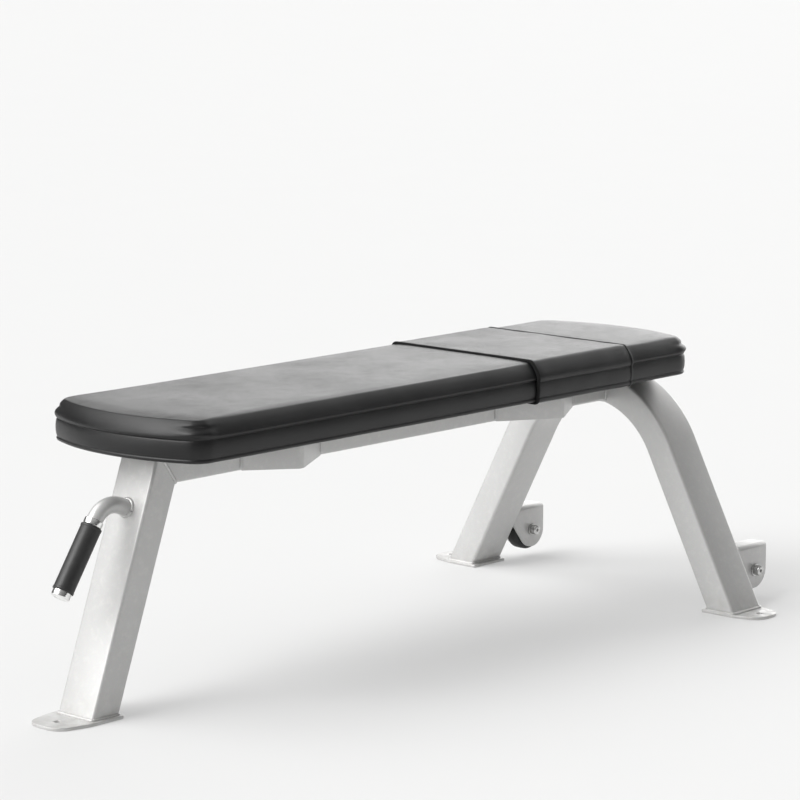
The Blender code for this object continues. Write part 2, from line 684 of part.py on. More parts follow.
def add_pad():
    profile = pad_profile()
    rings = [pad_ring(0.030, PAD_BOTTOM)] + [pad_ring(inset, z) for inset, z in profile]
    cover = loft("pad_cover", rings, VINYL, caps=False, angle=50)
    build = bmesh.new()
    build.from_mesh(cover.data)
    top = [edge for edge in build.edges if edge.is_boundary and edge.verts[0].co.z > PAD_TOP - 1e-5]
    bmesh.ops.edgeloop_fill(build, edges=top)
    bmesh.ops.recalc_face_normals(build, faces=build.faces)
    build.to_mesh(cover.data)
    build.free()
    shell = cover.modifiers.new("thickness", "SOLIDIFY")
    shell.thickness = COVER_THICK
    shell.offset = -1
    shell.use_even_offset = True

    inner = COVER_THICK + GAP
    foam_rings = [pad_ring(inner, BOARD_TOP + GAP)]
    ridge = profile[-5][1]
    for inset, z in profile[-5:]:
        foam_rings.append(pad_ring(inset + inner, z - inner * (z - ridge) / (PAD_TOP - ridge)))
    loft("pad_foam", foam_rings, FOAM, angle=50)

    edge = 0.0100
    board_rings = [pad_ring(inner + edge, BOARD_BOTTOM),
                   pad_ring(inner + 0.3 * edge, BOARD_BOTTOM + 0.3 * edge),
                   pad_ring(inner, BOARD_BOTTOM + edge), pad_ring(inner, BOARD_TOP)]
    board = loft("pad_board", board_rings, PLYWOOD)
    holes = [circle(0.0070, FASTENER_SIDES, (PAD_BRACKETS[end][1], side * PAD_BOLT_Y))
             for end in PAD_BRACKETS for side, _ in SIDES]
    dust = plate("pad_dust_cover", [[p[:2] for p in pad_ring(0.0305, 0)]] + holes, 0.0008, BACKING)
    dust.location.z = PAD_BOTTOM + GAP
    for end in PAD_BRACKETS:
        for side, word in SIDES:
            hole = turned(f"nut_hole_{end}_{word}", [
                (0, 0.001), (0.0115, 0.001), (0.0115, -0.0022),
                (0.0059, -0.0022), (0.0059, -0.025), (0, -0.025)], PLYWOOD, FASTENER_SIDES)
            hole.location = (PAD_BRACKETS[end][1], side * PAD_BOLT_Y, BOARD_TOP)
            boolean(board, hole, "DIFFERENCE")


def moved_out(line, distance):
    """An open line moved to its left by the distance, with its corners kept."""
    points = []
    for i, here in enumerate(line):
        first = (here - line[max(i - 1, 0)]).normalized()
        last = (line[min(i + 1, len(line) - 1)] - here).normalized()
        if i in (0, len(line) - 1):
            first = last = first + last
        before, after = (Vector((run.y, -run.x)).normalized() for run in (first, last))
        normal = (before + after).normalized()
        points.append(here + normal * distance / max(0.5, normal.dot(before)))
    return points


def add_wear_sleeve():
    """A band round the pad, open underneath, with its two edges turned in below."""
    lift = GAP + WEAR_THICK
    line = [(PAD_HALF - inset, z) for inset, z in pad_profile()]
    line[-1] = (line[-1][0], PAD_TOP)
    under = [(PAD_HALF - 0.045, PAD_BOTTOM)]
    half = under + line
    outline = [Vector(p) for p in half] + [Vector((-p[0], p[1])) for p in reversed(half)]
    ring = moved_out(outline, lift) + moved_out(outline, GAP)[::-1]
    section = plate("wear_sleeve", [ring], SLEEVE_END - SLEEVE_START, WEAR_VINYL)
    section.data.transform(section_to_world(SLEEVE_START))
    shade(section.data, 50)


add_spine()
add_front_leg()
add_rear_legs()
add_feet()
add_pad_brackets()
add_pad_fasteners()
add_wheels()
add_handle()
add_pad()
add_wear_sleeve()
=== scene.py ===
"""Looks of the flat weight bench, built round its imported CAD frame: painted tubes and weld beads,
upholstered pad, slip-on wear sleeve, lifting handle, transport wheels, floor, light and camera.

Metres, in the frame of the CAD part: +X towards the wheels, +Y left, +Z up, floor at z = 0."""

from math import acos, ceil, cos, exp, pi, radians, sin, sqrt, tan, tanh

import bmesh
import bpy
import numpy as np
from mathutils import Matrix, Vector, noise


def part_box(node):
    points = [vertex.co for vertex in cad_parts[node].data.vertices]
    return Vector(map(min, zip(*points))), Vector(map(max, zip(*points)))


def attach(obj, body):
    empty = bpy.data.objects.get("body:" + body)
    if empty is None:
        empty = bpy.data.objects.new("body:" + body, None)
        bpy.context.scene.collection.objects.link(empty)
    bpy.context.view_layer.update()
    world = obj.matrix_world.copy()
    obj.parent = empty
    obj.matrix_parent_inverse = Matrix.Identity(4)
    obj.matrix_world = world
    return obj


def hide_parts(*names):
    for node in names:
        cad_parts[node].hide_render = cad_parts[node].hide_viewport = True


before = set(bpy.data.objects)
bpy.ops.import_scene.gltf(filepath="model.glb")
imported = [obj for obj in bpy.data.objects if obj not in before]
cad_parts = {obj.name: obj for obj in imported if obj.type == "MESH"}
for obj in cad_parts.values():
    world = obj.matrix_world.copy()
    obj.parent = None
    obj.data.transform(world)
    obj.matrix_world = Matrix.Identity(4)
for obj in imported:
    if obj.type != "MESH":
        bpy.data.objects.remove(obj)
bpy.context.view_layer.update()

SIDES = ((1, "left"), (-1, "right"))
ALONG, ACROSS, UP = Vector((1, 0, 0)), Vector((0, 1, 0)), Vector((0, 0, 1))
GAP = 0.0003

# ---- sizes, from the frame where it gives them

SPINE_LOW, SPINE_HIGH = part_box("spine_tube")
LEG_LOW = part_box("front_leg_tube")[0]
ARCH_LOW, ARCH_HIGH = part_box("rear_leg_arch")
PAD_LOW, PAD_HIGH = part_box("pad_cover")
BAND_LOW, BAND_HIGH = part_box("wear_sleeve")
FRONT_PLATE_LOW, FRONT_PLATE_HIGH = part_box("front_foot_plate")
REAR_PLATE_LOW, REAR_PLATE_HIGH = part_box("rear_foot_plate_left")
WHEEL_BRACKET_LOW, WHEEL_BRACKET_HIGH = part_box("wheel_bracket_left")
TYRE_LOW, TYRE_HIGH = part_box("wheel_tyre_left")

TUBE_WIDE = SPINE_HIGH.y - SPINE_LOW.y
TUBE_TOP, TUBE_BOTTOM = SPINE_HIGH.z, SPINE_LOW.z
TUBE_DEEP = TUBE_TOP - TUBE_BOTTOM
TUBE_WALL = 0.0030
TUBE_CORNER = 0.0050

LEG_LEAN = radians(19.87)
LEG_ALONG = Vector((sin(LEG_LEAN), 0.0, cos(LEG_LEAN)))
LEG_OUT = Vector((-cos(LEG_LEAN), 0.0, sin(LEG_LEAN)))
LEG_DEPTH_X = TUBE_DEEP / cos(LEG_LEAN)
ANCHOR_HOLE_R = 0.0055
FRONT_HOLE_INSET = 0.0308
REAR_HOLE_INSET = 0.0225

ARCH_MIDDLE = (ARCH_LOW.x + ARCH_HIGH.x) / 2
ARCH_INNER_R = 0.1446
ARCH_R = ARCH_INNER_R + TUBE_DEEP / 2
ARCH_CENTRE_Z = TUBE_BOTTOM - ARCH_INNER_R
ARCH_HALF_TURN = radians(62.6)

AXLE = (TYRE_LOW + TYRE_HIGH) / 2
WHEEL_R = (TYRE_HIGH.z - TYRE_LOW.z) / 2
WHEEL_WIDE = TYRE_HIGH.y - TYRE_LOW.y
HUB_R = 0.0220
BOLT_R = 0.0050
SLEEVE_R = 0.0080
BRACKET_HALF = (WHEEL_BRACKET_HIGH.y - WHEEL_BRACKET_LOW.y) / 2
BRACKET_WALL = 0.0045
BRACKET_BEND_R = 0.0080
BRACKET_NOSE_R = WHEEL_BRACKET_HIGH.x - AXLE.x
BRACKET_FRONT_LOW = 0.0675

STRIP_THICK = 0.0050
STRIP_FLAT = 0.0090
PAD_BOLT_R = 0.0040

HANDLE_R = 0.0127
HANDLE_WALL = 0.0025
HANDLE_Z = 0.3015
HANDLE_STUB = 0.0175
HANDLE_BEND_R = 0.0400
HANDLE_DROP = radians(56.3)
COLLAR_LONG = 0.0100
COLLAR_R = 0.0148
GRIP_LONG = 0.1050
GRIP_R = 0.0164
CAP_LONG = 0.0100

PAD_TOP, PAD_BOTTOM = PAD_HIGH.z, PAD_LOW.z
PAD_HALF = PAD_HIGH.y
PAD_NEAR_END, PAD_FAR_END = PAD_LOW.x, PAD_HIGH.x
PAD_END_R = 0.3350
PAD_CORNER_R = 0.0360
PAD_SEAM_Z = PAD_TOP - 0.0285
PAD_TURN_R = 0.0042
PAD_TUCK = 0.0300
BAND_START, BAND_END = BAND_LOW.x, BAND_HIGH.x


# ---- nodes and materials

def node(kind, inputs, **settings):
    """A shader node with its inputs as values or as sockets, made in the tree of those sockets."""
    tree = next(v.id_data for v in inputs.values() if isinstance(v, bpy.types.NodeSocket))
    made = tree.nodes.new("ShaderNode" + kind)
    for key, value in settings.items():
        setattr(made, key, value)
    for key, value in inputs.items():
        if isinstance(value, bpy.types.NodeSocket):
            tree.links.new(value, made.inputs[key])
        else:
            made.inputs[key].default_value = value
    return made


def noise_of(where, scale, detail=2.0, roughness=0.5):
    return node("TexNoise", {"Vector": where, "Scale": scale, "Detail": detail,
                             "Roughness": roughness}).outputs["Fac"]


def ranged(value, low, high, to_low=0.0, to_high=1.0):
    return node("MapRange", {"Value": value, "From Min": low, "From Max": high,
                             "To Min": to_low, "To Max": to_high}).outputs["Result"]


def maths(operation, first, second):
    return node("Math", {0: first, 1: second}, operation=operation).outputs[0]


def mixed(factor, first, second, blend="MIX"):
    """Two colours mixed by a factor."""
    first, second = [(*colour, 1.0) if isinstance(colour, tuple) else colour for colour in (first, second)]
    inputs = {0: factor, 6: first, 7: second}
    return node("Mix", inputs, data_type="RGBA", blend_type=blend).outputs[2]


def bumped(height, strength, distance, normal=None):
    inputs = {"Height": height, "Strength": strength, "Distance": distance}
    if normal:
        inputs["Normal"] = normal
    return node("Bump", inputs).outputs["Normal"]


def new_material(name, metallic=0.0, **sockets):
    """(material, shader, object coordinates); uniform values sit on the shader's own sockets."""
    made = bpy.data.materials.new(name)
    made.use_nodes = True
    tree = made.node_tree
    shader = tree.nodes["Principled BSDF"]
    shader.inputs["Metallic"].default_value = metallic
    for key, value in sockets.items():
        shader.inputs[key.replace("_", " ")].default_value = value
    return made, shader, tree.nodes.new("ShaderNodeTexCoord").outputs["Object"]


def feed(shader, **sockets):
    for key, value in sockets.items():
        shader.id_data.links.new(value, shader.inputs[key.replace("_", " ")])


def powder_coat():
    """Satin silver powder coat: fine flake, orange peel, edges lightened in patches as worn paint and as
    painted highlight, and a little dust near the floor.
    """
    made, shader, where = new_material("silver_powder_coat", 0.35,
                                       Coat_Weight=0.15, Coat_Roughness=0.25)
    cloud = noise_of(where, 7.0, 3.0)
    flake = node("TexVoronoi", {"Vector": where, "Scale": 2600.0}).outputs["Color"]
    tone = mixed(cloud, (0.600, 0.598, 0.592), (0.545, 0.543, 0.537))
    tone = mixed(0.10, tone, flake, "OVERLAY")
    edge = shader.id_data.nodes.new("ShaderNodeAttribute")
    edge.attribute_name = "edge"
    # painted highlight: the corners of the tubes are lightened in noisy patches, partly as worn paint and
    # partly as a painted highlight
    scuff = ranged(noise_of(where, 90.0, 4.0, 0.65), 0.50, 0.72)
    edge_wear_and_highlight = maths("MULTIPLY", edge.outputs["Fac"], scuff)
    tone = mixed(maths("MULTIPLY", edge_wear_and_highlight, 0.35), tone, (0.72, 0.71, 0.69))
    height = node("SeparateXYZ", {0: where}).outputs["Z"]
    dust = maths("MULTIPLY", ranged(height, 0.045, 0.004),
                 ranged(noise_of(where, 60.0, 4.0), 0.38, 0.70))
    tone = mixed(maths("MULTIPLY", dust, 0.30), tone, (0.36, 0.34, 0.31))
    rough = ranged(noise_of(where, 24.0, 3.0), 0.25, 0.75, 0.34, 0.44)
    rough = maths("ADD", rough, maths("MULTIPLY", dust, 0.20))
    peel = bumped(noise_of(where, 520.0, 1.0), 0.10, 0.0005)
    grit = node("TexVoronoi", {"Vector": where, "Scale": 1900.0}).outputs["Distance"]
    feed(shader, Base_Color=tone, Roughness=rough, Normal=bumped(grit, 0.05, 0.0002, peel))
    return made


def vinyl(name, dark, light, grain, rough_low, rough_high, relief):
    """Coated cloth: pebbled grain of the given density with painted shade in its creases, broad unevenness
    and slight scuffing.
    """
    made, shader, where = new_material(name, 0.0, IOR=1.42)
    warp = node("TexNoise", {"Vector": where, "Scale": grain * 0.35, "Detail": 2.0}).outputs["Color"]
    slide = node("VectorMath", {0: warp, 1: (0.9 / grain,) * 3}, operation="MULTIPLY").outputs[0]
    bent = node("VectorMath", {0: where, 1: slide}, operation="ADD").outputs[0]
    pebble = node("TexVoronoi", {"Vector": bent, "Scale": grain}, feature="DISTANCE_TO_EDGE")
    crease = ranged(pebble.outputs["Distance"], 0.0, 0.16)
    cloud = noise_of(where, 9.0, 4.0)
    tone = mixed(cloud, dark, light)
    # painted shade: the creases of the grain are darkened
    tone = mixed(ranged(crease, 0.0, 1.0, 0.35, 0.0), tone, (0.006, 0.006, 0.006))
    scuff = ranged(noise_of(where, 38.0, 5.0, 0.7), 0.45, 0.75)
    rough = maths("ADD", ranged(cloud, 0.3, 0.7, rough_low, rough_high),
                  maths("MULTIPLY", scuff, 0.05))
    broad = bumped(noise_of(where, 16.0, 2.0), 0.10, 0.004)
    skin = bumped(crease, relief, 0.0003, broad)
    pores = bumped(noise_of(where, grain * 3.0, 2.0), relief * 0.5, 0.0001, skin)
    feed(shader, Base_Color=tone, Roughness=rough, Normal=pores)
    return made


def woven(name, dark, light, pitch, roughness, relief=0.5):
    """Plain weave whose threads run along X and Y."""
    made, shader, where = new_material(name, 0.0, Specular_IOR_Level=0.18, Roughness=roughness)
    wave = {"Vector": where, "Scale": 0.5 / pitch, "Distortion": 0.6, "Detail": 1.0}
    weave = maths("MULTIPLY", *[node("TexWave", wave, bands_direction=axis).outputs["Fac"]
                                      for axis in ("X", "Y")])
    tone = mixed(weave, dark, light)
    tone = mixed(ranged(noise_of(where, 30.0, 3.0), 0.3, 0.7, 0.0, 0.3), tone, dark)
    feed(shader, Base_Color=tone, Normal=bumped(weave, relief, 0.0004))
    return made


def rubber(name, dark, light, rough_low, rough_high, grain=420.0, relief=0.2):
    """Moulded rubber or plastic with a fine grain and pale dust in patches."""
    made, shader, where = new_material(name)
    cloud = noise_of(where, 35.0, 4.0)
    dust = ranged(noise_of(where, 110.0, 5.0, 0.7), 0.5, 0.8)
    tone = mixed(cloud, dark, light)
    tone = mixed(maths("MULTIPLY", dust, 0.25), tone, (0.09, 0.088, 0.085))
    rough = ranged(cloud, 0.3, 0.7, rough_low, rough_high)
    feed(shader, Base_Color=tone, Roughness=rough,
         Normal=bumped(noise_of(where, grain, 3.0), relief, 0.0003))
    return made


def metal(name, dark, light, rough_low, rough_high, brush=1.0, relief=0.05):
    """Bare or plated metal: faint brushing across Z and small stains."""
    made, shader, where = new_material(name, 1.0)
    stretched = node("Mapping", {"Vector": where, "Scale": (260.0, 260.0, 260.0 * brush)}).outputs[0]
    lines = noise_of(stretched, 2.0, 3.0)
    stain = ranged(noise_of(where, 160.0, 4.0), 0.35, 0.7)
    tone = mixed(stain, light, dark)
    rough = maths("ADD", ranged(lines, 0.3, 0.7, rough_low, rough_high),
                  maths("MULTIPLY", stain, 0.06))
    feed(shader, Base_Color=tone, Roughness=rough, Normal=bumped(lines, relief, 0.0002))
    return made


def plywood():
    """Birch plywood: streaks along X, and plies stacked in Z."""
    made, shader, where = new_material("plywood")
    grain = node("Mapping", {"Vector": where, "Scale": (6.0, 110.0, 110.0)}).outputs[0]
    streak = noise_of(grain, 1.0, 5.0, 0.6)
    plies = node("TexWave", {"Vector": where, "Scale": 160.0, "Distortion": 1.0},
                 bands_direction="Z").outputs["Fac"]
    tone = mixed(streak, (0.30, 0.19, 0.10), (0.56, 0.41, 0.25))
    tone = mixed(maths("MULTIPLY", plies, 0.35), tone, (0.22, 0.13, 0.07))
    rough = ranged(streak, 0.3, 0.7, 0.62, 0.80)
    feed(shader, Base_Color=tone, Roughness=rough, Normal=bumped(streak, 0.3, 0.0004))
    return made


SILVER = powder_coat()
VINYL = vinyl("black_vinyl", (0.006, 0.006, 0.0063), (0.010, 0.010, 0.0104), 720.0, 0.29, 0.35, 0.22)
WEAR_VINYL = vinyl("wear_vinyl", (0.009, 0.009, 0.0094), (0.013, 0.013, 0.0135), 560.0, 0.30, 0.36, 0.26)
TAPE = woven("binding_tape", (0.012, 0.012, 0.012), (0.026, 0.026, 0.026), 0.0006, 0.95)
BACKING = woven("backing_cloth", (0.008, 0.008, 0.008), (0.022, 0.022, 0.022), 0.0009, 0.95)
GRIP = rubber("grip_rubber", (0.020, 0.020, 0.020), (0.030, 0.030, 0.030), 0.40, 0.52)
TYRE = rubber("wheel_tyre", (0.014, 0.014, 0.014), (0.024, 0.024, 0.024), 0.50, 0.65)
NYLON = rubber("wheel_hub", (0.030, 0.030, 0.031), (0.046, 0.046, 0.047), 0.38, 0.50, 260.0, 0.1)
ZINC = metal("zinc_steel", (0.48, 0.48, 0.46), (0.70, 0.70, 0.70), 0.22, 0.34)
POLISHED = metal("polished_aluminium", (0.80, 0.80, 0.79), (0.93, 0.93, 0.92), 0.12, 0.20, 0.05)
PLYWOOD = plywood()
NYLON_RING = rubber("nylon_insert", (0.60, 0.60, 0.58), (0.72, 0.72, 0.70), 0.40, 0.50, 300.0, 0.1)


# ---- objects and meshes

LOOKS = bpy.data.collections.new("looks")
bpy.context.scene.collection.children.link(LOOKS)


def new_object(name, mesh):
    obj = bpy.data.objects.new(name, mesh)
    LOOKS.objects.link(obj)
    return obj


def mark_edges(mesh):
    """Stores how sharply the surface turns at each vertex, from 0 on a flat to 1 on a tube's corner."""
    full_turn = radians(12)
    build = bmesh.new()
    build.from_mesh(mesh)
    layer = build.verts.layers.float.new("edge")
    for vert in build.verts:
        turns = [edge.calc_face_angle(0.0) for edge in vert.link_edges if len(edge.link_faces) == 2]
        vert[layer] = min(1.0, max(turns, default=0.0) / full_turn)
    build.to_mesh(mesh)
    build.free()


def tidy(mesh, angle=35):
    """Outward normals, and smooth shading with edges sharper than the angle kept."""
    build = bmesh.new()
    build.from_mesh(mesh)
    bmesh.ops.remove_doubles(build, verts=build.verts, dist=1e-6)
    bmesh.ops.recalc_face_normals(build, faces=build.faces)
    build.to_mesh(mesh)
    build.free()
    mesh.shade_smooth()
    mesh.set_sharp_from_angle(angle=radians(angle))


def repaint(obj, material):
    obj.data.materials.clear()
    obj.data.materials.append(material)


def show(obj, material, *stands_for, body="frame"):
    """Gives a piece its material and body, and hides the CAD nodes that it stands for."""
    repaint(obj, material)
    if material == SILVER:
        mark_edges(obj.data)
    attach(obj, body)
    if stands_for:
        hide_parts(*stands_for)


def evaluated_mesh(obj):
    bpy.context.view_layer.update()
    graph = bpy.context.evaluated_depsgraph_get()
    return bpy.data.meshes.new_from_object(obj.evaluated_get(graph))


def settle(obj, angle=35):
    """Turns the object's modifiers into its own mesh."""
    mesh = evaluated_mesh(obj)
    obj.modifiers.clear()
    obj.data = mesh
    tidy(mesh, angle)


def drop(*helpers):
    for helper in helpers:
        bpy.data.objects.remove(helper)


def cut(obj, other, operation="DIFFERENCE"):
    modifier = obj.modifiers.new("cut", "BOOLEAN")
    modifier.operation = operation
    modifier.object = other
    settle(obj)
    drop(other)


def bevelled(obj, width):
    modifier = obj.modifiers.new("edges", "BEVEL")
    modifier.width, modifier.segments = width, 2
    modifier.limit_method, modifier.angle_limit = "ANGLE", radians(30)
    settle(obj)


def joined(name, parts):
    """One object that takes the place of all the given ones."""
    build = bmesh.new()
    for part in parts:
        build.from_mesh(part.data)
    drop(*parts)
    mesh = bpy.data.meshes.new(name)
    build.to_mesh(mesh)
    build.free()
    mesh.shade_smooth()
    mesh.set_sharp_from_angle(angle=radians(35))
    return new_object(name, mesh)


def faces_between(count, total, wrap=False):
    """Quads between rings of the same number of points; wrap joins the last ring to the first."""
    faces = []
    for row in range(total if wrap else total - 1):
        here, there = row * count, (row + 1) % total * count
        for column in range(count):
            after = (column + 1) % count
            faces.append((here + column, here + after, there + after, there + column))
    return faces


def loft(name, rings, wrap=False, angle=35):
    """Rings joined in order, with capped ends unless they wrap."""
    count, total = len(rings[0]), len(rings)
    faces = faces_between(count, total, wrap)
    if not wrap:
        faces += [tuple(range(count)), tuple(range((total - 1) * count, total * count))]
    mesh = bpy.data.meshes.new(name)
    mesh.from_pydata([tuple(point) for ring in rings for point in ring], [], faces)
    tidy(mesh, angle)
    return new_object(name, mesh)


def at(x, y, z):
    return Matrix.Translation((x, y, z))


def round_polygon(corners, radii, steps=6):
    """The corners of a closed outline, each turned into an arc of its own radius."""
    points = []
    for i, corner in enumerate(corners):
        here = Vector(corner)
        before = (Vector(corners[i - 1]) - here).normalized()
        after = (Vector(corners[(i + 1) % len(corners)]) - here).normalized()
        radius = radii[i] if isinstance(radii, (list, tuple)) else radii
        if radius <= 0:
            points.append(here)
            continue
        half = acos(max(-1.0, min(1.0, before.dot(after)))) / 2
        centre = here + (before + after).normalized() * radius / sin(half)
        first = here + before * radius / tan(half) - centre
        turn = first.angle_signed(here + after * radius / tan(half) - centre)
        for step in range(steps + 1):
            points.append(centre + Matrix.Rotation(-turn * step / steps, 2) @ first)
    return points


def arc(centre, radius, start, sweep, steps):
    """Both ends of an arc and the points between them."""
    angles = [start + sweep * i / steps for i in range(steps + 1)]
    return [Vector((centre[0] + radius * cos(a), centre[1] + radius * sin(a))) for a in angles]


def circle(radius, count, centre=(0.0, 0.0)):
    return arc(centre, radius, 0.0, 2 * pi, count)[:-1]


def hexagon(across_flats):
    return circle(across_flats / sqrt(3), 6)


def rectangle(wide, deep, corner, steps=6):
    x, y = wide / 2, deep / 2
    return round_polygon([(-x, -y), (x, -y), (x, y), (-x, y)], corner, steps)


def shifted(line, distance):
    """An open line moved to its right by a distance, its bends kept sharp."""
    moved = []
    for i, here in enumerate(line):
        near = line[max(i - 1, 0):i + 2]
        rights = [Vector((b.y - a.y, a.x - b.x)).normalized() for a, b in zip(near, near[1:])]
        middle = sum(rights, Vector((0, 0))).normalized()
        moved.append(here + middle * distance / middle.dot(rights[0]))
    return moved


def ended_at(line, y):
    """The line with its two end points slid along their own runs to a height."""
    ends = []
    for end, inside in ((line[0], line[1]), (line[-1], line[-2])):
        run = inside - end
        ends.append(end + run * (y - end.y) / run.y)
    return [ends[0], *line[1:-1], ends[1]]


def plate(name, loops, thickness, bevel=0.0, turn=None):
    """Flat outlines, holes included, extruded from z = 0 to the thickness, with rounded rims."""
    curve = bpy.data.curves.new(name, "CURVE")
    curve.dimensions = "2D"
    curve.fill_mode = "BOTH"
    curve.extrude = thickness / 2 - bevel
    curve.bevel_depth = bevel
    curve.bevel_resolution = 2
    curve.offset = -bevel
    for loop in loops:
        spline = curve.splines.new("POLY")
        spline.points.add(len(loop) - 1)
        for point, corner in zip(spline.points, loop):
            point.co = (corner[0], corner[1], 0.0, 1.0)
        spline.use_cyclic_u = True
    source = new_object(name + "_curve", curve)
    mesh = evaluated_mesh(source)
    drop(source)
    mesh.transform(at(0, 0, thickness / 2))
    if turn:
        mesh.transform(turn)
    mesh.name = name
    tidy(mesh)
    return new_object(name, mesh)


def turned(name, profile, place, sides=64, ring=True, knurl=None):
    """A (radius, height) profile turned about Z and put in place; knurl is (low, high, depth), and every
    other side is cut in by the depth between low and high.
    """
    rings = []
    for radius, height in profile:
        points = []
        for i in range(sides):
            reach = radius
            if knurl and knurl[0] <= height <= knurl[1] and i % 2:
                reach -= knurl[2]
            angle = 2 * pi * i / sides
            points.append(place @ Vector((reach * cos(angle), reach * sin(angle), height)))
        rings.append(points)
    return loft(name, rings, wrap=ring, angle=30)


def along(origin, direction):
    """The matrix that takes the Z axis to a direction from an origin."""
    turn = Vector(direction).to_track_quat("Z", "Y").to_matrix().to_4x4()
    return Matrix.Translation(origin) @ turn


def tube_rings(stations, section):
    return [[origin + sideways * point[0] + upwards * point[1] for point in section]
            for origin, sideways, upwards in stations]


def box_tube(name, stations):
    outer = rectangle(TUBE_WIDE, TUBE_DEEP, TUBE_CORNER)
    inner = rectangle(TUBE_WIDE - 2 * TUBE_WALL, TUBE_DEEP - 2 * TUBE_WALL, TUBE_CORNER - TUBE_WALL)
    rings = tube_rings(stations, outer) + tube_rings(list(reversed(stations)), inner)
    return loft(name, rings, wrap=True, angle=30)


def cut_square(direction, run, normal):
    """The section direction, slid along the tube until it lies in the plane of the cut."""
    return direction - run * direction.dot(normal) / run.dot(normal)


def weld(name, path, radius, closed=True):
    """A rippled bead along a path, painted with the frame."""
    pitch, step, sides = 0.0028, 0.0008, 10
    points = [Vector(p) for p in path] + ([Vector(path[0])] if closed else [])
    reach = [0.0]
    for a, b in zip(points, points[1:]):
        reach.append(reach[-1] + (b - a).length)
    count = max(4, ceil(reach[-1] / step))
    travel = np.linspace(0, reach[-1], count, endpoint=not closed)
    centres = [Vector([float(np.interp(t, reach, [p[axis] for p in points])) for axis in range(3)])
               for t in travel]
    rings = []
    for i, centre in enumerate(centres):
        before = centres[i - 1] if closed or i else centre
        after = centres[(i + 1) % count] if closed or i + 1 < count else centre
        run = (after - before).normalized()
        side = (run.orthogonal() if abs(run.z) > 0.9 else run.cross(UP)).normalized()
        up = side.cross(run)
        wobble = noise.noise(centre * 140.0)
        wave = abs(sin(pi * travel[i] / pitch))
        size = radius * (0.90 + 0.12 * wave + 0.10 * wobble)
        if not closed:
            size *= min(1.0, 0.35 + min(i, count - 1 - i) / 4)
        rings.append([centre + side * size * cos(2 * pi * k / sides) + up * size * sin(2 * pi * k / sides)
                      for k in range(sides)])
    show(loft(name, rings, wrap=closed, angle=60), SILVER)


# ---- frame tubes and feet

def leg_front(z):
    return LEG_LOW.x + (z - LEG_LOW.z) * tan(LEG_LEAN)


def mitre():
    """(middle, normal) of the cut between the front leg and the spine."""
    high = Vector((leg_front(TUBE_TOP), 0.0, TUBE_TOP))
    low = Vector((leg_front(TUBE_BOTTOM) + LEG_DEPTH_X, 0.0, TUBE_BOTTOM))
    return (high + low) / 2, (high - low).cross(ACROSS).normalized()


def arch_station(angle):
    outward = Vector((0, sin(angle), cos(angle)))
    return Vector((ARCH_MIDDLE, 0, ARCH_CENTRE_Z)) + outward * ARCH_R, ALONG, outward


def arch_foot(side):
    origin, sideways, outward = arch_station(side * ARCH_HALF_TURN)
    run = Vector((0, side * cos(ARCH_HALF_TURN), -sin(ARCH_HALF_TURN)))
    reach = (LEG_LOW.z - origin.z) / run.z
    return origin + run * reach, sideways, cut_square(outward, run, UP)


def build_tubes():
    middle, normal = mitre()
    spine = [(middle + ALONG * GAP, ACROSS, cut_square(UP, ALONG, normal)),
             (Vector((SPINE_HIGH.x, 0, middle.z)), ACROSS, UP)]
    show(box_tube("spine", spine), SILVER, "spine_tube")
    foot = Vector((leg_front(LEG_LOW.z) + LEG_DEPTH_X / 2, 0.0, LEG_LOW.z))
    leg = [(foot, ACROSS, cut_square(LEG_OUT, LEG_ALONG, UP)),
           (middle, ACROSS, cut_square(LEG_OUT, LEG_ALONG, normal))]
    show(box_tube("front_leg", leg), SILVER, "front_leg_tube")
    steps = 56
    bend = [arch_station(ARCH_HALF_TURN * (2 * i / steps - 1)) for i in range(steps + 1)]
    show(box_tube("rear_legs", [arch_foot(-1), *bend, arch_foot(1)]), SILVER, "rear_leg_arch")
    bead = 0.0031
    outline = rectangle(TUBE_WIDE, TUBE_DEEP, TUBE_CORNER)
    weld("weld_front_foot", tube_rings(leg[:1], outline)[0], bead)
    for side, word in SIDES:
        weld(f"weld_rear_foot_{word}", tube_rings([arch_foot(side)], outline)[0], bead)
    weld("weld_leg_to_spine", without_top(tube_rings(spine[:1], outline)[0]), 0.0026, closed=False)
    weld("weld_spine_to_arch", without_top(tube_rings(spine[1:], outline)[0]), 0.0030, closed=False)


def without_top(ring):
    """The ring from one top corner, down and round to the other, clear of what rests on the tube."""
    clear = TUBE_TOP - 0.0045
    start = next(i for i in range(len(ring)) if ring[i - 1].z > clear >= ring[i].z)
    turned_ring = ring[start:] + ring[:start]
    return [point for point in turned_ring if point.z <= clear]


def foot_outline(back, tip, half):
    """Plan of a foot plate that points along +X from its square back edge to its rounded tip."""
    taper, shoulder = 0.72, back + 0.55 * (tip - back)
    corners = [(back, -half), (shoulder, -half), (tip, -half * taper),
               (tip, half * taper), (shoulder, half), (back, half)]
    return round_polygon(corners, [0.004, 0.060, 0.028, 0.028, 0.060, 0.004], 12)


def build_feet():
    rear_half = (REAR_PLATE_HIGH.x - REAR_PLATE_LOW.x) / 2
    feet = [("front_foot", "front_foot_plate", 0.0, pi, -FRONT_PLATE_HIGH.x, -FRONT_PLATE_LOW.x,
             FRONT_PLATE_HIGH.y, FRONT_HOLE_INSET)]
    for side, word in SIDES:
        feet.append((f"rear_foot_{word}", f"rear_foot_plate_{word}", ARCH_MIDDLE, side * pi / 2,
                     REAR_PLATE_LOW.y, REAR_PLATE_HIGH.y, rear_half, REAR_HOLE_INSET))
    for name, stands_for, x, turn, back, tip, half, inset in feet:
        place = at(x, 0, FRONT_PLATE_LOW.z) @ Matrix.Rotation(turn, 4, "Z")
        loops = [foot_outline(back, tip, half), circle(ANCHOR_HOLE_R, 40, (tip - inset, 0.0))]
        thick = FRONT_PLATE_HIGH.z - FRONT_PLATE_LOW.z
        show(plate(name, loops, thick, 0.0010, place), SILVER, stands_for)


# ---- pad brackets and their bolts

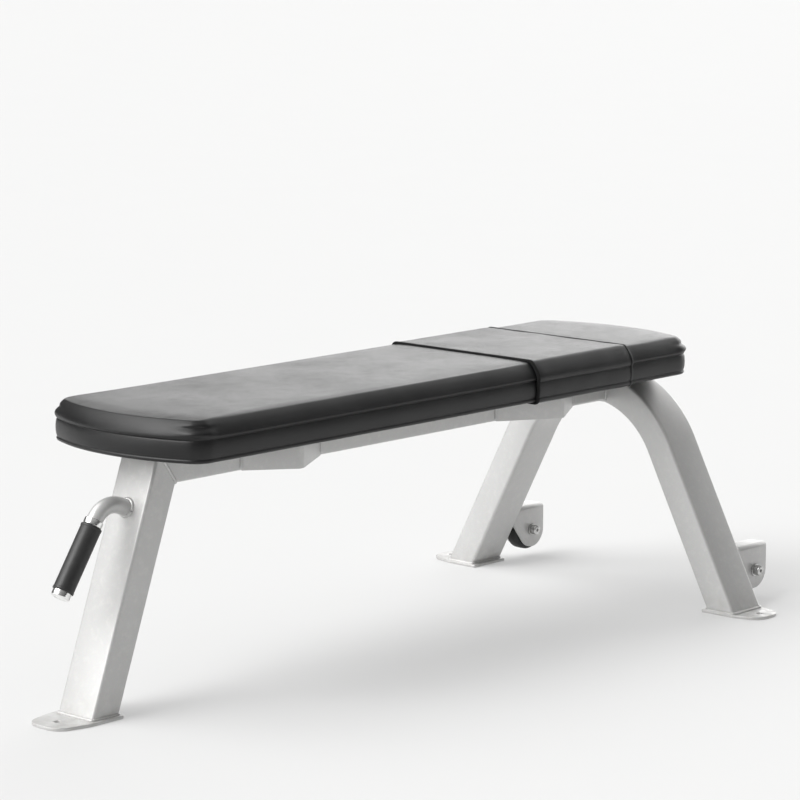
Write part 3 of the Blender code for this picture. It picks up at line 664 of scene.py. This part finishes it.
def build_pad_brackets():
    for end in ("front", "rear"):
        for side, word in SIDES:
            low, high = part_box(f"{end}_bracket_wing_{word}")
            bolt_low, bolt_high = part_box(f"{end}_pad_bolt_{word}")
            bolt = (bolt_low + bolt_high) / 2
            root, reach, flat = TUBE_WIDE / 2 + GAP, max(high.y, -low.y), STRIP_FLAT / 2
            outer = [Vector((low.x, root)), Vector((bolt.x - flat, reach)),
                     Vector((bolt.x + flat, reach)), Vector((high.x, root))]
            inner = ended_at(shifted(outer, STRIP_THICK), root)
            loop = [Vector((p.x, side * p.y)) for p in outer + inner[::-1]]
            rounded = round_polygon(loop, [0, .008, .008, 0, 0, .003, .003, 0])
            strip = plate(f"{end}_strip_{word}", [rounded], TUBE_DEEP, 0.0006, at(0, 0, TUBE_BOTTOM))
            show(strip, SILVER, f"{end}_bracket_wing_{word}")
            for which, x in (("near", low.x), ("far", high.x)):
                path = [(x, side * root, z) for z in (TUBE_BOTTOM + 0.003, TUBE_TOP - 0.005)]
                weld(f"weld_{end}_strip_{which}_{word}", path, 0.0030, closed=False)
            repaint(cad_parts[f"{end}_bracket_plate_{word}"], SILVER)
            build_pad_bolt(end, word, bolt)


def build_washer(name, bore, wide, thick, soften, steps, place, stands_for):
    corners = [(bore, 0), (wide, 0), (wide, thick), (bore, thick)]
    loop = round_polygon(corners, [0, soften, soften, 0], steps)
    show(turned(name, loop, place), ZINC, stands_for)


def build_pad_bolt(end, word, bolt):
    washer_low, washer_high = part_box(f"{end}_pad_washer_{word}")
    build_washer(f"{end}_pad_washer_ring_{word}", PAD_BOLT_R + GAP, (washer_high.x - washer_low.x) / 2,
                 washer_high.z - washer_low.z, 0.0005, 3, at(bolt.x, bolt.y, washer_low.z),
                 f"{end}_pad_washer_{word}")
    low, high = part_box(f"{end}_pad_bolt_{word}")
    place = at(bolt.x, bolt.y, low.z)
    head, end_at = washer_low.z - GAP - low.z, high.z - low.z
    cap = plate("cap", [round_polygon(hexagon(0.013), 0.0006, 3)], head, 0.0008, place)
    profile = [(PAD_BOLT_R, head - 0.001), (PAD_BOLT_R, end_at - 0.001), (PAD_BOLT_R - 0.001, end_at)]
    whole = joined(f"{end}_pad_hex_bolt_{word}", [cap, turned("shank", profile, place, 32, ring=False)])
    show(whole, ZINC, f"{end}_pad_bolt_{word}")


# ---- transport wheels

def section_to_world(start):
    """Stands up a section that was drawn as (Y, Z), so that its thickness runs along X from a start."""
    return Matrix(((0, 0, 1, start), (1, 0, 0, 0), (0, 1, 0, 0), (0, 0, 0, 1)))


def bracket_side(front, cut_z):
    """Side of a wheel bracket in X and Z: level top, upright back, round nose, slanting front."""
    top, back = WHEEL_BRACKET_HIGH.z, WHEEL_BRACKET_HIGH.x
    reach = Vector((front - AXLE.x, cut_z - AXLE.z))
    tangent = (2 * pi - Vector((1, 0)).angle_signed(reach) + acos(BRACKET_NOSE_R / reach.length)) % (2 * pi)
    nose = arc((AXLE.x, AXLE.z), BRACKET_NOSE_R, 2 * pi, tangent - 2 * pi, 40)
    return [(front, top), *round_corner((front, top), (back, top), nose[0], 0.004), *nose, (front, cut_z)]


def round_corner(before, corner, after, radius):
    return round_polygon([before, corner, after], [0, radius, 0])[1:-1]


def build_wheel_bracket(side, word):
    half, wall, bend = BRACKET_HALF, BRACKET_WALL, BRACKET_BEND_R
    top, low = WHEEL_BRACKET_HIGH.z, WHEEL_BRACKET_LOW.z - 0.002
    outer = round_polygon([(-half, low), (-half, top), (half, top), (half, low)], [0, bend, bend, 0], 10)
    within = half - wall
    inner = round_polygon([(within, low), (within, top - wall), (-within, top - wall), (-within, low)],
                          [0, bend - wall, bend - wall, 0], 10)
    front = WHEEL_BRACKET_LOW.x
    place = at(0, side * AXLE.y, 0) @ section_to_world(front)
    channel = plate(f"wheel_fork_{word}", [outer + inner], WHEEL_BRACKET_HIGH.x - front, 0.0, place)
    wide = 4 * half
    sideways = at(0, side * AXLE.y + wide / 2, 0) @ Matrix.Rotation(pi / 2, 4, "X")
    cut(channel, plate("keep", [bracket_side(front, BRACKET_FRONT_LOW)], wide, 0.0, sideways), "INTERSECT")
    cut(channel, plate("hole", [circle(BOLT_R + GAP, 40, (AXLE.x, AXLE.z))], wide, 0.0, sideways))
    bevelled(channel, 0.0006)
    show(channel, SILVER, f"wheel_bracket_{word}")
    y = side * AXLE.y
    start = BRACKET_FRONT_LOW + 0.002
    rise = round_polygon([(-half, start), (-half, top), (half, top), (half, start)], [0, bend, bend, 0], 8)
    weld(f"weld_wheel_fork_{word}", [(front, y + p[0], p[1]) for p in rise], 0.0034, closed=False)


def build_wheel(word, place):
    """Tyre and hub, which ride on the wheel's own body."""
    half = WHEEL_WIDE / 2
    crown = 0.0006
    tread = [(HUB_R + GAP, -half), (WHEEL_R - crown, -half), (WHEEL_R, 0), (WHEEL_R - crown, half),
             (HUB_R + GAP, half)]
    tyre = turned(f"tyre_{word}", round_polygon(tread, [.0008, .0045, .030, .0045, .0008], 8), place, 96)
    show(tyre, TYRE, f"wheel_tyre_{word}", body=f"{word}_wheel")
    bore = SLEEVE_R + 0.00006
    boss = BRACKET_HALF - BRACKET_WALL - 0.0008
    web, boss_r, rim_r = 0.0050, bore + 0.0050, HUB_R - 0.0030
    side = [(boss_r, boss), (boss_r + 0.001, web), (rim_r, web),
            (rim_r + 0.0006, half - 0.0005), (HUB_R, half)]
    loop = round_polygon([(bore, boss), *side, *[(r, -z) for r, z in reversed(side)], (bore, -boss)],
                         0.0004, 3)
    hub = turned("hub", loop[::-1], place, 72)
    ribs = []
    for i in range(6):
        for face in (1, -1):
            turn = place @ Matrix.Rotation(i * pi / 3, 4, "Z")
            rib = [(boss_r - 0.001, -0.0011), (rim_r + 0.001, -0.0011), (rim_r + 0.001, 0.0011),
                   (boss_r - 0.001, 0.0011)]
            low = web - 0.001 if face > 0 else -web - 0.0035
            ribs.append(plate("rib", [rib], 0.0045, 0.0004, turn @ at(0, 0, low)))
    show(joined(f"hub_{word}", [hub, *ribs]), NYLON, f"wheel_hub_{word}", body=f"{word}_wheel")


def build_axle(word, place):
    """Socket-head bolt with its head at +Z, two washers and a lock nut with a nylon ring."""
    face, washer_thick = BRACKET_HALF + GAP, 0.0020
    head_r, head_long = 0.0085, 0.0100
    head_at = face + washer_thick + GAP
    nut_long, collar_long = 0.0080, 0.0025
    end_at = -(head_at + nut_long + collar_long + 0.002)
    top = head_at + head_long
    profile = [(BOLT_R - 0.001, end_at), (BOLT_R, end_at + 0.001), (BOLT_R, head_at),
               (head_r - 0.0006, head_at), (head_r, head_at + 0.0006),
               (head_r, head_at + 0.0012), (head_r, top - 0.0022),
               (head_r, top - 0.0016), (head_r - 0.0004, top - 0.0005), (head_r - 0.0014, top)]
    bolt = turned(f"axle_cap_bolt_{word}", profile, place, 96, ring=False,
                  knurl=(head_at + 0.0010, top - 0.0020, 0.00025))
    cut(bolt, plate("socket", [hexagon(0.0055)], 0.01, 0.0, place @ at(0, 0, top - 0.0030)))
    show(bolt, ZINC, f"axle_bolt_{word}")
    bore = BOLT_R + GAP
    for which, z in (("head", face), ("nut", -face - washer_thick)):
        build_washer(f"axle_{which}_ring_{word}", bore, 0.0105, washer_thick, 0.0006, 4,
                     place @ at(0, 0, z), f"axle_{which}_washer_{word}")
    nut_place = place @ at(0, 0, -head_at - nut_long)
    nut = plate(f"axle_lock_nut_{word}", [round_polygon(hexagon(0.017), 0.0008, 3), circle(bore, 40)],
                nut_long, 0.0009, nut_place)
    show(nut, ZINC, f"axle_nut_{word}")
    ring_place = place @ at(0, 0, -head_at - nut_long - collar_long)
    loop = round_polygon([(bore, 0), (0.0066, 0), (0.0075, collar_long), (bore, collar_long)],
                         [.0004, .0008, 0, 0], 4)
    show(turned(f"axle_nut_ring_{word}", loop, ring_place), NYLON_RING)


def build_wheels():
    for side, word in SIDES:
        build_wheel_bracket(side, word)
        place = at(AXLE.x, side * AXLE.y, AXLE.z) @ Matrix.Rotation(pi / 2, 4, "X")
        build_wheel(word, place)
        build_axle(word, place)


# ---- handle

def handle_stations(steps=28):
    """Square out of the leg, round the bend, and down to the end of the grip."""
    root = Vector((leg_front(HANDLE_Z), 0, HANDLE_Z)) + LEG_OUT * GAP

    def station(middle, angle):
        return middle.copy(), ACROSS, Vector((sin(angle), 0, cos(angle)))
    start = root + LEG_OUT * HANDLE_STUB
    centre = start - LEG_ALONG * HANDLE_BEND_R
    stations = [station(root, LEG_LEAN)]
    for i in range(steps + 1):
        angle = LEG_LEAN - (LEG_LEAN + HANDLE_DROP) * i / steps
        stations.append(station(centre + Vector((sin(angle), 0, cos(angle))) * HANDLE_BEND_R, angle))
    down = Vector((-cos(HANDLE_DROP), 0, -sin(HANDLE_DROP)))
    bend_end = stations[-1][0].copy()
    stations.append(station(bend_end + down * (COLLAR_LONG + 2 * GAP + GRIP_LONG), -HANDLE_DROP))
    return stations, bend_end, down


def build_handle():
    stations, bend_end, down = handle_stations()
    rings = tube_rings(stations, circle(HANDLE_R, 48))
    rings += tube_rings(stations[::-1], circle(HANDLE_R - HANDLE_WALL, 48))
    show(loft("handle_bar", rings, wrap=True), SILVER, "handle_tube")
    bore = HANDLE_R + GAP
    pieces = (
        ("handle_collar", 0.0, [(bore, 0), (COLLAR_R, 0), (COLLAR_R, COLLAR_LONG), (bore, COLLAR_LONG)],
         [.0003, .0016, .0010, .0003], POLISHED, "grip_collar"),
        ("handle_sleeve", COLLAR_LONG + GAP,
         [(bore, 0), (GRIP_R, 0), (GRIP_R, 0.0035), (GRIP_R - 0.0005, 0.0045),
          (GRIP_R - 0.0005, GRIP_LONG - 0.0045), (GRIP_R, GRIP_LONG - 0.0035), (GRIP_R, GRIP_LONG),
          (bore, GRIP_LONG)],
         [.0003, .0012, .0005, .0005, .0005, .0005, .0012, .0003], GRIP, "handle_grip"),
    )
    for name, offset, corners, radii, material, stands_for in pieces:
        piece = turned(name, round_polygon(corners, radii, 4), along(bend_end + down * offset, down), 72)
        show(piece, material, stands_for)
    plug_r, low = HANDLE_R - HANDLE_WALL - GAP, 0.0150
    place = along(bend_end + down * (COLLAR_LONG + 3 * GAP + GRIP_LONG), down)
    profile = [(plug_r - 0.001, -low), (plug_r, -low + 0.001), (plug_r, 0), (COLLAR_R - 0.0003, 0),
               (COLLAR_R, 0.0003)]
    dome, dish = 0.0025, 0.0006
    profile += arc((COLLAR_R - dome, CAP_LONG - dome), dome, 0.0, pi / 2, 6)
    profile += [(COLLAR_R - dome - 0.0022, CAP_LONG), (COLLAR_R - dome - 0.0030, CAP_LONG - dish)]
    show(turned("handle_cap", profile, place, 72, ring=False), POLISHED, "handle_end_cap")
    weld("weld_handle", tube_rings(stations[:1], circle(HANDLE_R, 60))[0], 0.0032)


# ---- pad

LONG_STEPS, BOW_STEPS, CORNER_STEPS = 170, 34, 12
ACROSS_STEPS = 2 * CORNER_STEPS + BOW_STEPS

# Folds of the cover in a corner: depth below the top, half width, and how far each stands out
CORNER_FOLDS = ((0.0058, 0.0030, 0.0022), (0.0118, 0.0021, -0.0026),
                (0.0188, 0.0042, 0.0032), (0.0258, 0.0020, -0.0024))


def pad_plan(inset):
    """The pad's plan at one inset as four runs: far end, left side, near end, right side, in X and Y."""
    corner_r, end_r = PAD_CORNER_R - inset, PAD_END_R - inset
    offset_y = PAD_HALF - PAD_CORNER_R
    ends = []
    for sign, tip in ((1, PAD_FAR_END), (-1, PAD_NEAR_END)):
        centre_x = tip - sign * PAD_END_R
        corner_x = centre_x + sign * sqrt((PAD_END_R - PAD_CORNER_R) ** 2 - offset_y ** 2)
        bow = acos((corner_x - centre_x) * sign / (PAD_END_R - PAD_CORNER_R))
        turn = 0 if sign > 0 else pi
        first, last = [arc((corner_x, y), corner_r, start, pi / 2 - bow, CORNER_STEPS)
                       for y, start in ((-sign * offset_y, turn - pi / 2), (sign * offset_y, turn + bow))]
        middle = arc((centre_x, 0.0), end_r, turn - bow, 2 * bow, BOW_STEPS)
        ends.append(first + middle[1:-1] + last)
    far, near = ends
    left = [far[-1].lerp(near[0], i / LONG_STEPS) for i in range(LONG_STEPS + 1)]
    right = [near[-1].lerp(far[0], i / LONG_STEPS) for i in range(LONG_STEPS + 1)]
    return far, left, near, right


def pad_ring(inset, z):
    points = [p for run in pad_plan(inset) for p in run[:-1]]
    return [Vector((p.x, p.y, z)) for p in points]


def bezier(first, handle, last, steps):
    shares = [i / steps for i in range(steps + 1)]
    return [first.lerp(handle, t).lerp(handle.lerp(last, t), t) for t in shares]


def side_profile(seam=True):
    """(inset, height) up the pad's side, from under its edge to the flat of its top."""
    welt = PAD_BOTTOM + PAD_TURN_R
    under = arc((PAD_TURN_R, welt), PAD_TURN_R, -pi / 2, -pi / 2, 6)
    under += [(0.0001, welt + 0.0008), (0.0011, welt + 0.0018), (0.0013, welt + 0.0026)]
    band_low, band_high = welt + 0.0040, PAD_SEAM_Z - 0.0024
    rounded = 0.0014
    band = [(0.0004 - rounded * sin(pi * i / 7) ** 0.7, band_low + (band_high - band_low) * i / 7)
            for i in range(8)]
    lip = [(0.0008, PAD_SEAM_Z - 0.0014), (0.0015, PAD_SEAM_Z - 0.0006), (0.0013, PAD_SEAM_Z + 0.0001),
           (0.0002, PAD_SEAM_Z + 0.0007), (-0.0010, PAD_SEAM_Z + 0.0018), (-0.0016, PAD_SEAM_Z + 0.0034)]
    if not seam:
        lip = [(-0.0010, PAD_SEAM_Z - 0.0010), (-0.0016, PAD_SEAM_Z + 0.0018)]
    shoulder = bezier(Vector((-0.0014, PAD_SEAM_Z + 0.0056)), Vector((0.0020, PAD_TOP - 0.0125)),
                      Vector((0.0118, PAD_TOP - 0.0020)), 16 if seam else 8)
    crease = [(0.0132, PAD_TOP - 0.0009), (0.0146, PAD_TOP - 0.0002), (0.0165, PAD_TOP)]
    return [Vector(p) for p in under + band + lip] + shoulder + [Vector(p) for p in crease]


def corner_nearness(point):
    """(nearest pad corner's index, closeness from 0 to 1) of a place in plan."""
    reach, back, aside = 0.021, 0.040, 0.012
    best = (0, 0.0)
    corners = [(x, y) for x in (PAD_NEAR_END + back, PAD_FAR_END - back)
               for y in (aside - PAD_HALF, PAD_HALF - aside)]
    for i, (x, y) in enumerate(corners):
        close = exp(-((point.x - x) ** 2 + (point.y - y) ** 2) / reach ** 2)
        if close > best[1]:
            best = (i, close)
    return best


def pad_ripple(point):
    """How far the cover's side stands out at a point: stacked folds in the corners, small gathers."""
    index, close = corner_nearness(point)
    below = PAD_TOP - point.z
    depth = (1.0, 0.5, 0.8, 0.6)[index] * close
    folds = sum(out * exp(-((below - centre) / wide) ** 2) for centre, wide, out in CORNER_FOLDS)
    gathers = 0.0004 * noise.noise(Vector((point.x * 95, point.y * 95, point.z * 14 + index * 7)))
    wave = 0.0007 * noise.noise(Vector((point.x * 13, point.y * 13, point.z * 22)))
    return depth * folds + gathers * (0.25 + 0.75 * close) + wave


def rippled_ring(inset, z):
    ring = pad_ring(inset, z)
    moved = []
    for i, point in enumerate(ring):
        run = ring[(i + 1) % len(ring)] - ring[i - 1]
        outward = Vector((run.y, -run.x, 0)).normalized()
        moved.append(point + outward * pad_ripple(point))
    return moved


def top_grid(ring):
    """The flat top blended between its four runs, in rows from the near end to the far one."""
    left_at, near_at = ACROSS_STEPS, ACROSS_STEPS + LONG_STEPS
    right_at = near_at + ACROSS_STEPS
    far, left = ring[:left_at + 1], ring[near_at:left_at - 1:-1]
    near, right = ring[right_at:near_at - 1:-1], ring[right_at:] + ring[:1]
    points = []
    for i in range(LONG_STEPS + 1):
        for j in range(ACROSS_STEPS + 1):
            u, v = i / LONG_STEPS, j / ACROSS_STEPS
            point = (right[i].lerp(left[i], v) + near[j].lerp(far[j], u)
                     - right[0].lerp(left[0], v).lerp(right[-1].lerp(left[-1], v), u))
            if 0 < i < LONG_STEPS and 0 < j < ACROSS_STEPS:
                point.z += top_wave(point)
            points.append(point)
    return points


def free_to_swell(point):
    """Whether a point of the cover is neither sewn down, nor creased, nor held by the wear sleeve."""
    margin = 0.0040
    if BAND_START + margin < point.x < BAND_END - margin:
        return False
    on_top = point.z > PAD_TOP - 0.0004
    on_shoulder = PAD_SEAM_Z + 0.0045 < point.z < PAD_TOP - 0.0030
    on_band = PAD_BOTTOM + PAD_TURN_R + 0.0060 < point.z < PAD_SEAM_Z - 0.0040
    return on_top or on_shoulder or on_band


def swell(cover):
    """The foam's pressure: the cover, as a cloth held along its seams, is blown out a little."""
    frames, most = 20, 0.0016
    rest = [vert.co.copy() for vert in cover.data.vertices]
    held = cover.vertex_groups.new(name="held")
    held.add([i for i, point in enumerate(rest) if not free_to_swell(point)], 1.0, "REPLACE")
    cloth = cover.modifiers.new("cloth", "CLOTH")
    cloth.settings.vertex_group_mass = "held"
    cloth.settings.use_pressure = True
    cloth.settings.uniform_pressure_force = 4.0
    cloth.settings.effector_weights.gravity = 0.0
    cloth.settings.quality = 4
    cloth.settings.mass = 0.4
    cloth.settings.tension_stiffness = cloth.settings.compression_stiffness = 40.0
    cloth.settings.bending_stiffness = 2.0
    cloth.point_cache.frame_start, cloth.point_cache.frame_end = 1, frames
    for frame_number in range(1, frames + 1):
        bpy.context.scene.frame_set(frame_number)
    blown = evaluated_mesh(cover)
    for vert, before, after in zip(cover.data.vertices, rest, blown.vertices):
        moved = after.co - before
        if moved.length > 1e-7:
            vert.co = before + moved.normalized() * most * tanh(moved.length / most)
    cover.modifiers.remove(cloth)
    cover.vertex_groups.remove(held)
    bpy.data.meshes.remove(blown)
    bpy.context.scene.frame_set(1)


def build_cover():
    """One skin from the tucked-in hem up the sides and over the top, closed underneath."""
    tucked = [(PAD_TUCK + 0.0005, 0.0013), (PAD_TUCK, 0.0003), (PAD_TUCK - 0.0008, 0.0),
              (0.5 * PAD_TUCK + 0.5 * PAD_TURN_R, 0.0)]
    rings = [pad_ring(inset, PAD_BOTTOM + rise) for inset, rise in tucked]
    rings += [rippled_ring(p.x, p.y) for p in side_profile()]
    verts = [p for ring in rings for p in ring]
    faces = faces_between(len(rings[0]), len(rings))
    row = ACROSS_STEPS + 1
    for i in range(LONG_STEPS):
        for corner in range(len(verts) + i * row, len(verts) + i * row + ACROSS_STEPS):
            faces.append((corner, corner + row, corner + row + 1, corner + 1))
    verts += top_grid(rings[-1])
    mesh = bpy.data.meshes.new("upholstery")
    mesh.from_pydata([tuple(v) for v in verts], [], faces)
    tidy(mesh, 60)
    cover = new_object("upholstery", mesh)
    swell(cover)
    smooth = cover.modifiers.new("smooth", "SUBSURF")
    smooth.levels = smooth.render_levels = 1
    settle(cover, 60)
    build = bmesh.new()
    build.from_mesh(cover.data)
    bmesh.ops.holes_fill(build, edges=[edge for edge in build.edges if edge.is_boundary])
    build.to_mesh(cover.data)
    build.free()
    show(cover, VINYL, "pad_cover", "pad_foam")


def top_wave(point):
    """Slight unevenness of the foam under the flat top, fading out at its edge."""
    edge = min(1.0, (PAD_HALF - 0.0165 - abs(point.y)) / 0.05)
    return edge * (0.0008 + 0.0009 * noise.noise(Vector((point.x * 6, point.y * 6, 3.1))))


# ---- wear sleeve and underside

def sleeve_line():
    """(points, outward normals) across the pad in Y and Z, from under one edge to the other."""
    under = [(PAD_HALF - 0.045, PAD_BOTTOM), (PAD_HALF - 0.028, PAD_BOTTOM)]
    side = [(PAD_HALF - p.x, p.y) for p in side_profile(seam=False)]
    top = [(y, PAD_TOP) for y in np.linspace(side[-1][0], 0.0, 14)[1:]]
    half = [Vector(p) for p in under + side + top]
    line = half + [Vector((-p.x, p.y)) for p in reversed(half[:-1])]
    normals = []
    for i in range(len(line)):
        run = line[min(i + 1, len(line) - 1)] - line[max(i - 1, 0)]
        normals.append(Vector((run.y, -run.x)).normalized())
    return line, normals


def sleeve_lift(x, y, z):
    """Height of the sleeve's outer face over the cover, with soft unevenness and a dip beside each hem."""
    near_edge = min(x - BAND_START, BAND_END - x)
    puff = 0.0028 - 0.0009 * exp(-(near_edge / 0.009) ** 2)
    return puff + 0.0006 * noise.noise(Vector((x * 22, y * 22, z * 30)))


def raised(x, point, normal, height):
    return Vector((x, point.x + normal.x * height, point.y + normal.y * height))


def build_sleeve():
    line, normals = sleeve_line()
    rings = []
    for x in np.linspace(BAND_START + 0.0030, BAND_END - 0.0030, 46):
        outer = [raised(x, p, n, sleeve_lift(x, p.x, p.y)) for p, n in zip(line, normals)]
        inner = [raised(x, p, n, GAP) for p, n in zip(line, normals)]
        rings.append(outer + inner[::-1])
    band = loft("wear_band", rings, angle=60)
    show(band, WEAR_VINYL, "wear_sleeve")
    for word, x, inwards, high, material in (("near", BAND_START, 1, 0.0042, TAPE),
                                             ("far", BAND_END, -1, 0.0034, WEAR_VINYL)):
        build_hem(f"hem_{word}", line, normals, x, inwards, high, material)


def build_hem(name, line, normals, x, inwards, high, material):
    """A rolled binding round the sleeve's edge, from under one side of the pad to the other."""
    wide = 0.0056
    section = round_polygon([(0, GAP), (wide, GAP), (wide, high), (0, high)],
                            [.0003, .0003, .0016, .0016], 4)
    rings = []
    for p, n in zip(line, normals):
        uneven = 0.0002 * noise.noise(Vector((p.x * 60, p.y * 60, x * 10)))
        rings.append([raised(x + inwards * corner.x, p, n, corner.y + uneven) for corner in section])
    hem = loft(name, rings, angle=50)
    show(hem, material)


def build_underside():
    """Backing cloth let into the tucked-in cover, and the staples that hold the cover's edge."""
    bolts = [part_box(f"{end}_pad_bolt_{word}") for end in ("front", "rear") for _, word in SIDES]
    holes = [circle(0.0070, 32, ((low.x + high.x) / 2, (low.y + high.y) / 2)) for low, high in bolts]
    outline = [(p.x, p.y) for p in pad_ring(PAD_TUCK + 0.0008, 0)]
    cloth_low, cloth_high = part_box("pad_dust_cover")
    cloth = plate("backing_sheet", [outline] + holes, cloth_high.z - cloth_low.z, 0.0,
                  at(0, 0, cloth_low.z))
    show(cloth, BACKING, "pad_dust_cover")
    ring = pad_ring(0.0235, PAD_BOTTOM)
    wire, wide, spacing = 0.0006, 0.011, 0.036
    section = rectangle(wire * 2, wire, wire * 0.3, 2)
    travelled, staples = 0.0, []
    for i, here in enumerate(ring):
        step = ring[(i + 1) % len(ring)] - here
        travelled += step.length
        if travelled < spacing or BAND_START - 0.01 < here.x < BAND_END + 0.01:
            continue
        travelled = 0.0
        run = step.normalized()
        out = Vector((run.y, -run.x, 0))
        start, end, leg = here - run * wide / 2, here + run * wide / 2, Vector((0, 0, 0.002))
        stations = [(start + leg, out, run * -1), (start, out, (run * -1 - UP).normalized()),
                    (end, out, (run - UP).normalized()), (end + leg, out, run)]
        staples.append(loft("staple", tube_rings(stations, section)))
    show(joined("staples", staples), ZINC)


def dress_hidden_nodes():
    """Materials of the CAD nodes that stay as they are."""
    repaint(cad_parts["pad_board"], PLYWOOD)
    for name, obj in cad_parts.items():
        if name.startswith("axle_sleeve") or "tee_nut" in name:
            repaint(obj, ZINC)


# ---- floor, light and camera

def build_floor():
    """A wide white floor that glows a little, so that the shadows on it stay faint."""
    half, low = 150.0, -0.0002
    mesh = bpy.data.meshes.new("floor")
    corners = [(-half, -half, low), (half, -half, low), (half, half, low), (-half, half, low)]
    mesh.from_pydata(corners, [], [(0, 1, 2, 3)])
    floor = new_object("floor", mesh)
    made, shader, where = new_material("studio_floor", 0.0, Specular_IOR_Level=0.1, Roughness=0.9,
                                       Emission_Color=(1.0, 1.0, 1.0, 1.0), Emission_Strength=0.33)
    tone = mixed(noise_of(where, 3.0, 2.0), (0.440, 0.440, 0.4385), (0.446, 0.446, 0.4445))
    feed(shader, Base_Color=tone)
    mesh.materials.append(made)


# Soft boxes of the studio: direction, cosine at the edge, cosine where it is full, and brightness
SOFT_BOXES = (((-0.95, 0.15, 0.35), 0.78, 0.90, 0.30),
              ((-0.97, 0.22, 0.06), 0.86, 0.96, 0.55),
              ((-0.80, 0.58, 0.08), 0.950, 0.985, 3.00),
              ((-0.32, 0.52, 0.79), 0.86, 0.97, 3.00),
              ((0.95, 0.28, 0.12), 0.75, 0.98, 3.10),
              ((0.00, 0.00, 1.00), 0.00, 1.00, 0.55))
KEY_FROM = (-0.72, 0.22, 0.65)


def build_light():
    """A dim studio with soft boxes behind the bench and at its handle end, and a broad key light."""
    world = bpy.data.worlds.new("studio")
    bpy.context.scene.world = world
    world.use_nodes = True
    tree = world.node_tree
    heading = tree.nodes.new("ShaderNodeTexCoord").outputs["Generated"]
    total = None
    for direction, edge, full, bright in SOFT_BOXES:
        facing = node("VectorMath", {0: heading, 1: Vector(direction).normalized()},
                      operation="DOT_PRODUCT").outputs["Value"]
        share = ranged(facing, edge, full, 0.0, bright)
        total = maths("ADD", total, share) if total else share
    background = tree.nodes["Background"]
    tree.links.new(total, background.inputs["Strength"])
    background.inputs["Color"].default_value = (1.0, 1.0, 0.995, 1.0)
    sun = bpy.data.lights.new("key", "SUN")
    sun.energy = 1.75
    sun.angle = radians(34)
    key = bpy.data.objects.new("key", sun)
    LOOKS.objects.link(key)
    key.rotation_euler = Vector(KEY_FROM).to_track_quat("Z", "Y").to_euler()


def build_camera():
    data = bpy.data.cameras.new("camera")
    data.lens = 150.3
    data.clip_end = 1000.0
    camera = bpy.data.objects.new("camera", data)
    LOOKS.objects.link(camera)
    place, yaw, pitch, roll = Vector((-3.8369, -3.5317, 1.2753)), 0.8352, 0.1669, 0.0033
    ahead = Vector((sin(yaw) * cos(pitch), cos(yaw) * cos(pitch), -sin(pitch)))
    right = Vector((cos(yaw), -sin(yaw), 0))
    up = right.cross(ahead)
    right, up = right * cos(roll) + up * sin(roll), up * cos(roll) - right * sin(roll)
    turn = Matrix((right, up, -ahead)).transposed()
    camera.matrix_world = Matrix.Translation(place) @ turn.to_4x4()
    bpy.context.scene.camera = camera


build_tubes()
build_feet()
build_pad_brackets()
build_wheels()
build_handle()
build_cover()
build_sleeve()
build_underside()
dress_hidden_nodes()
build_floor()
build_light()
build_camera()
bpy.context.scene.view_settings.view_transform = "Standard"
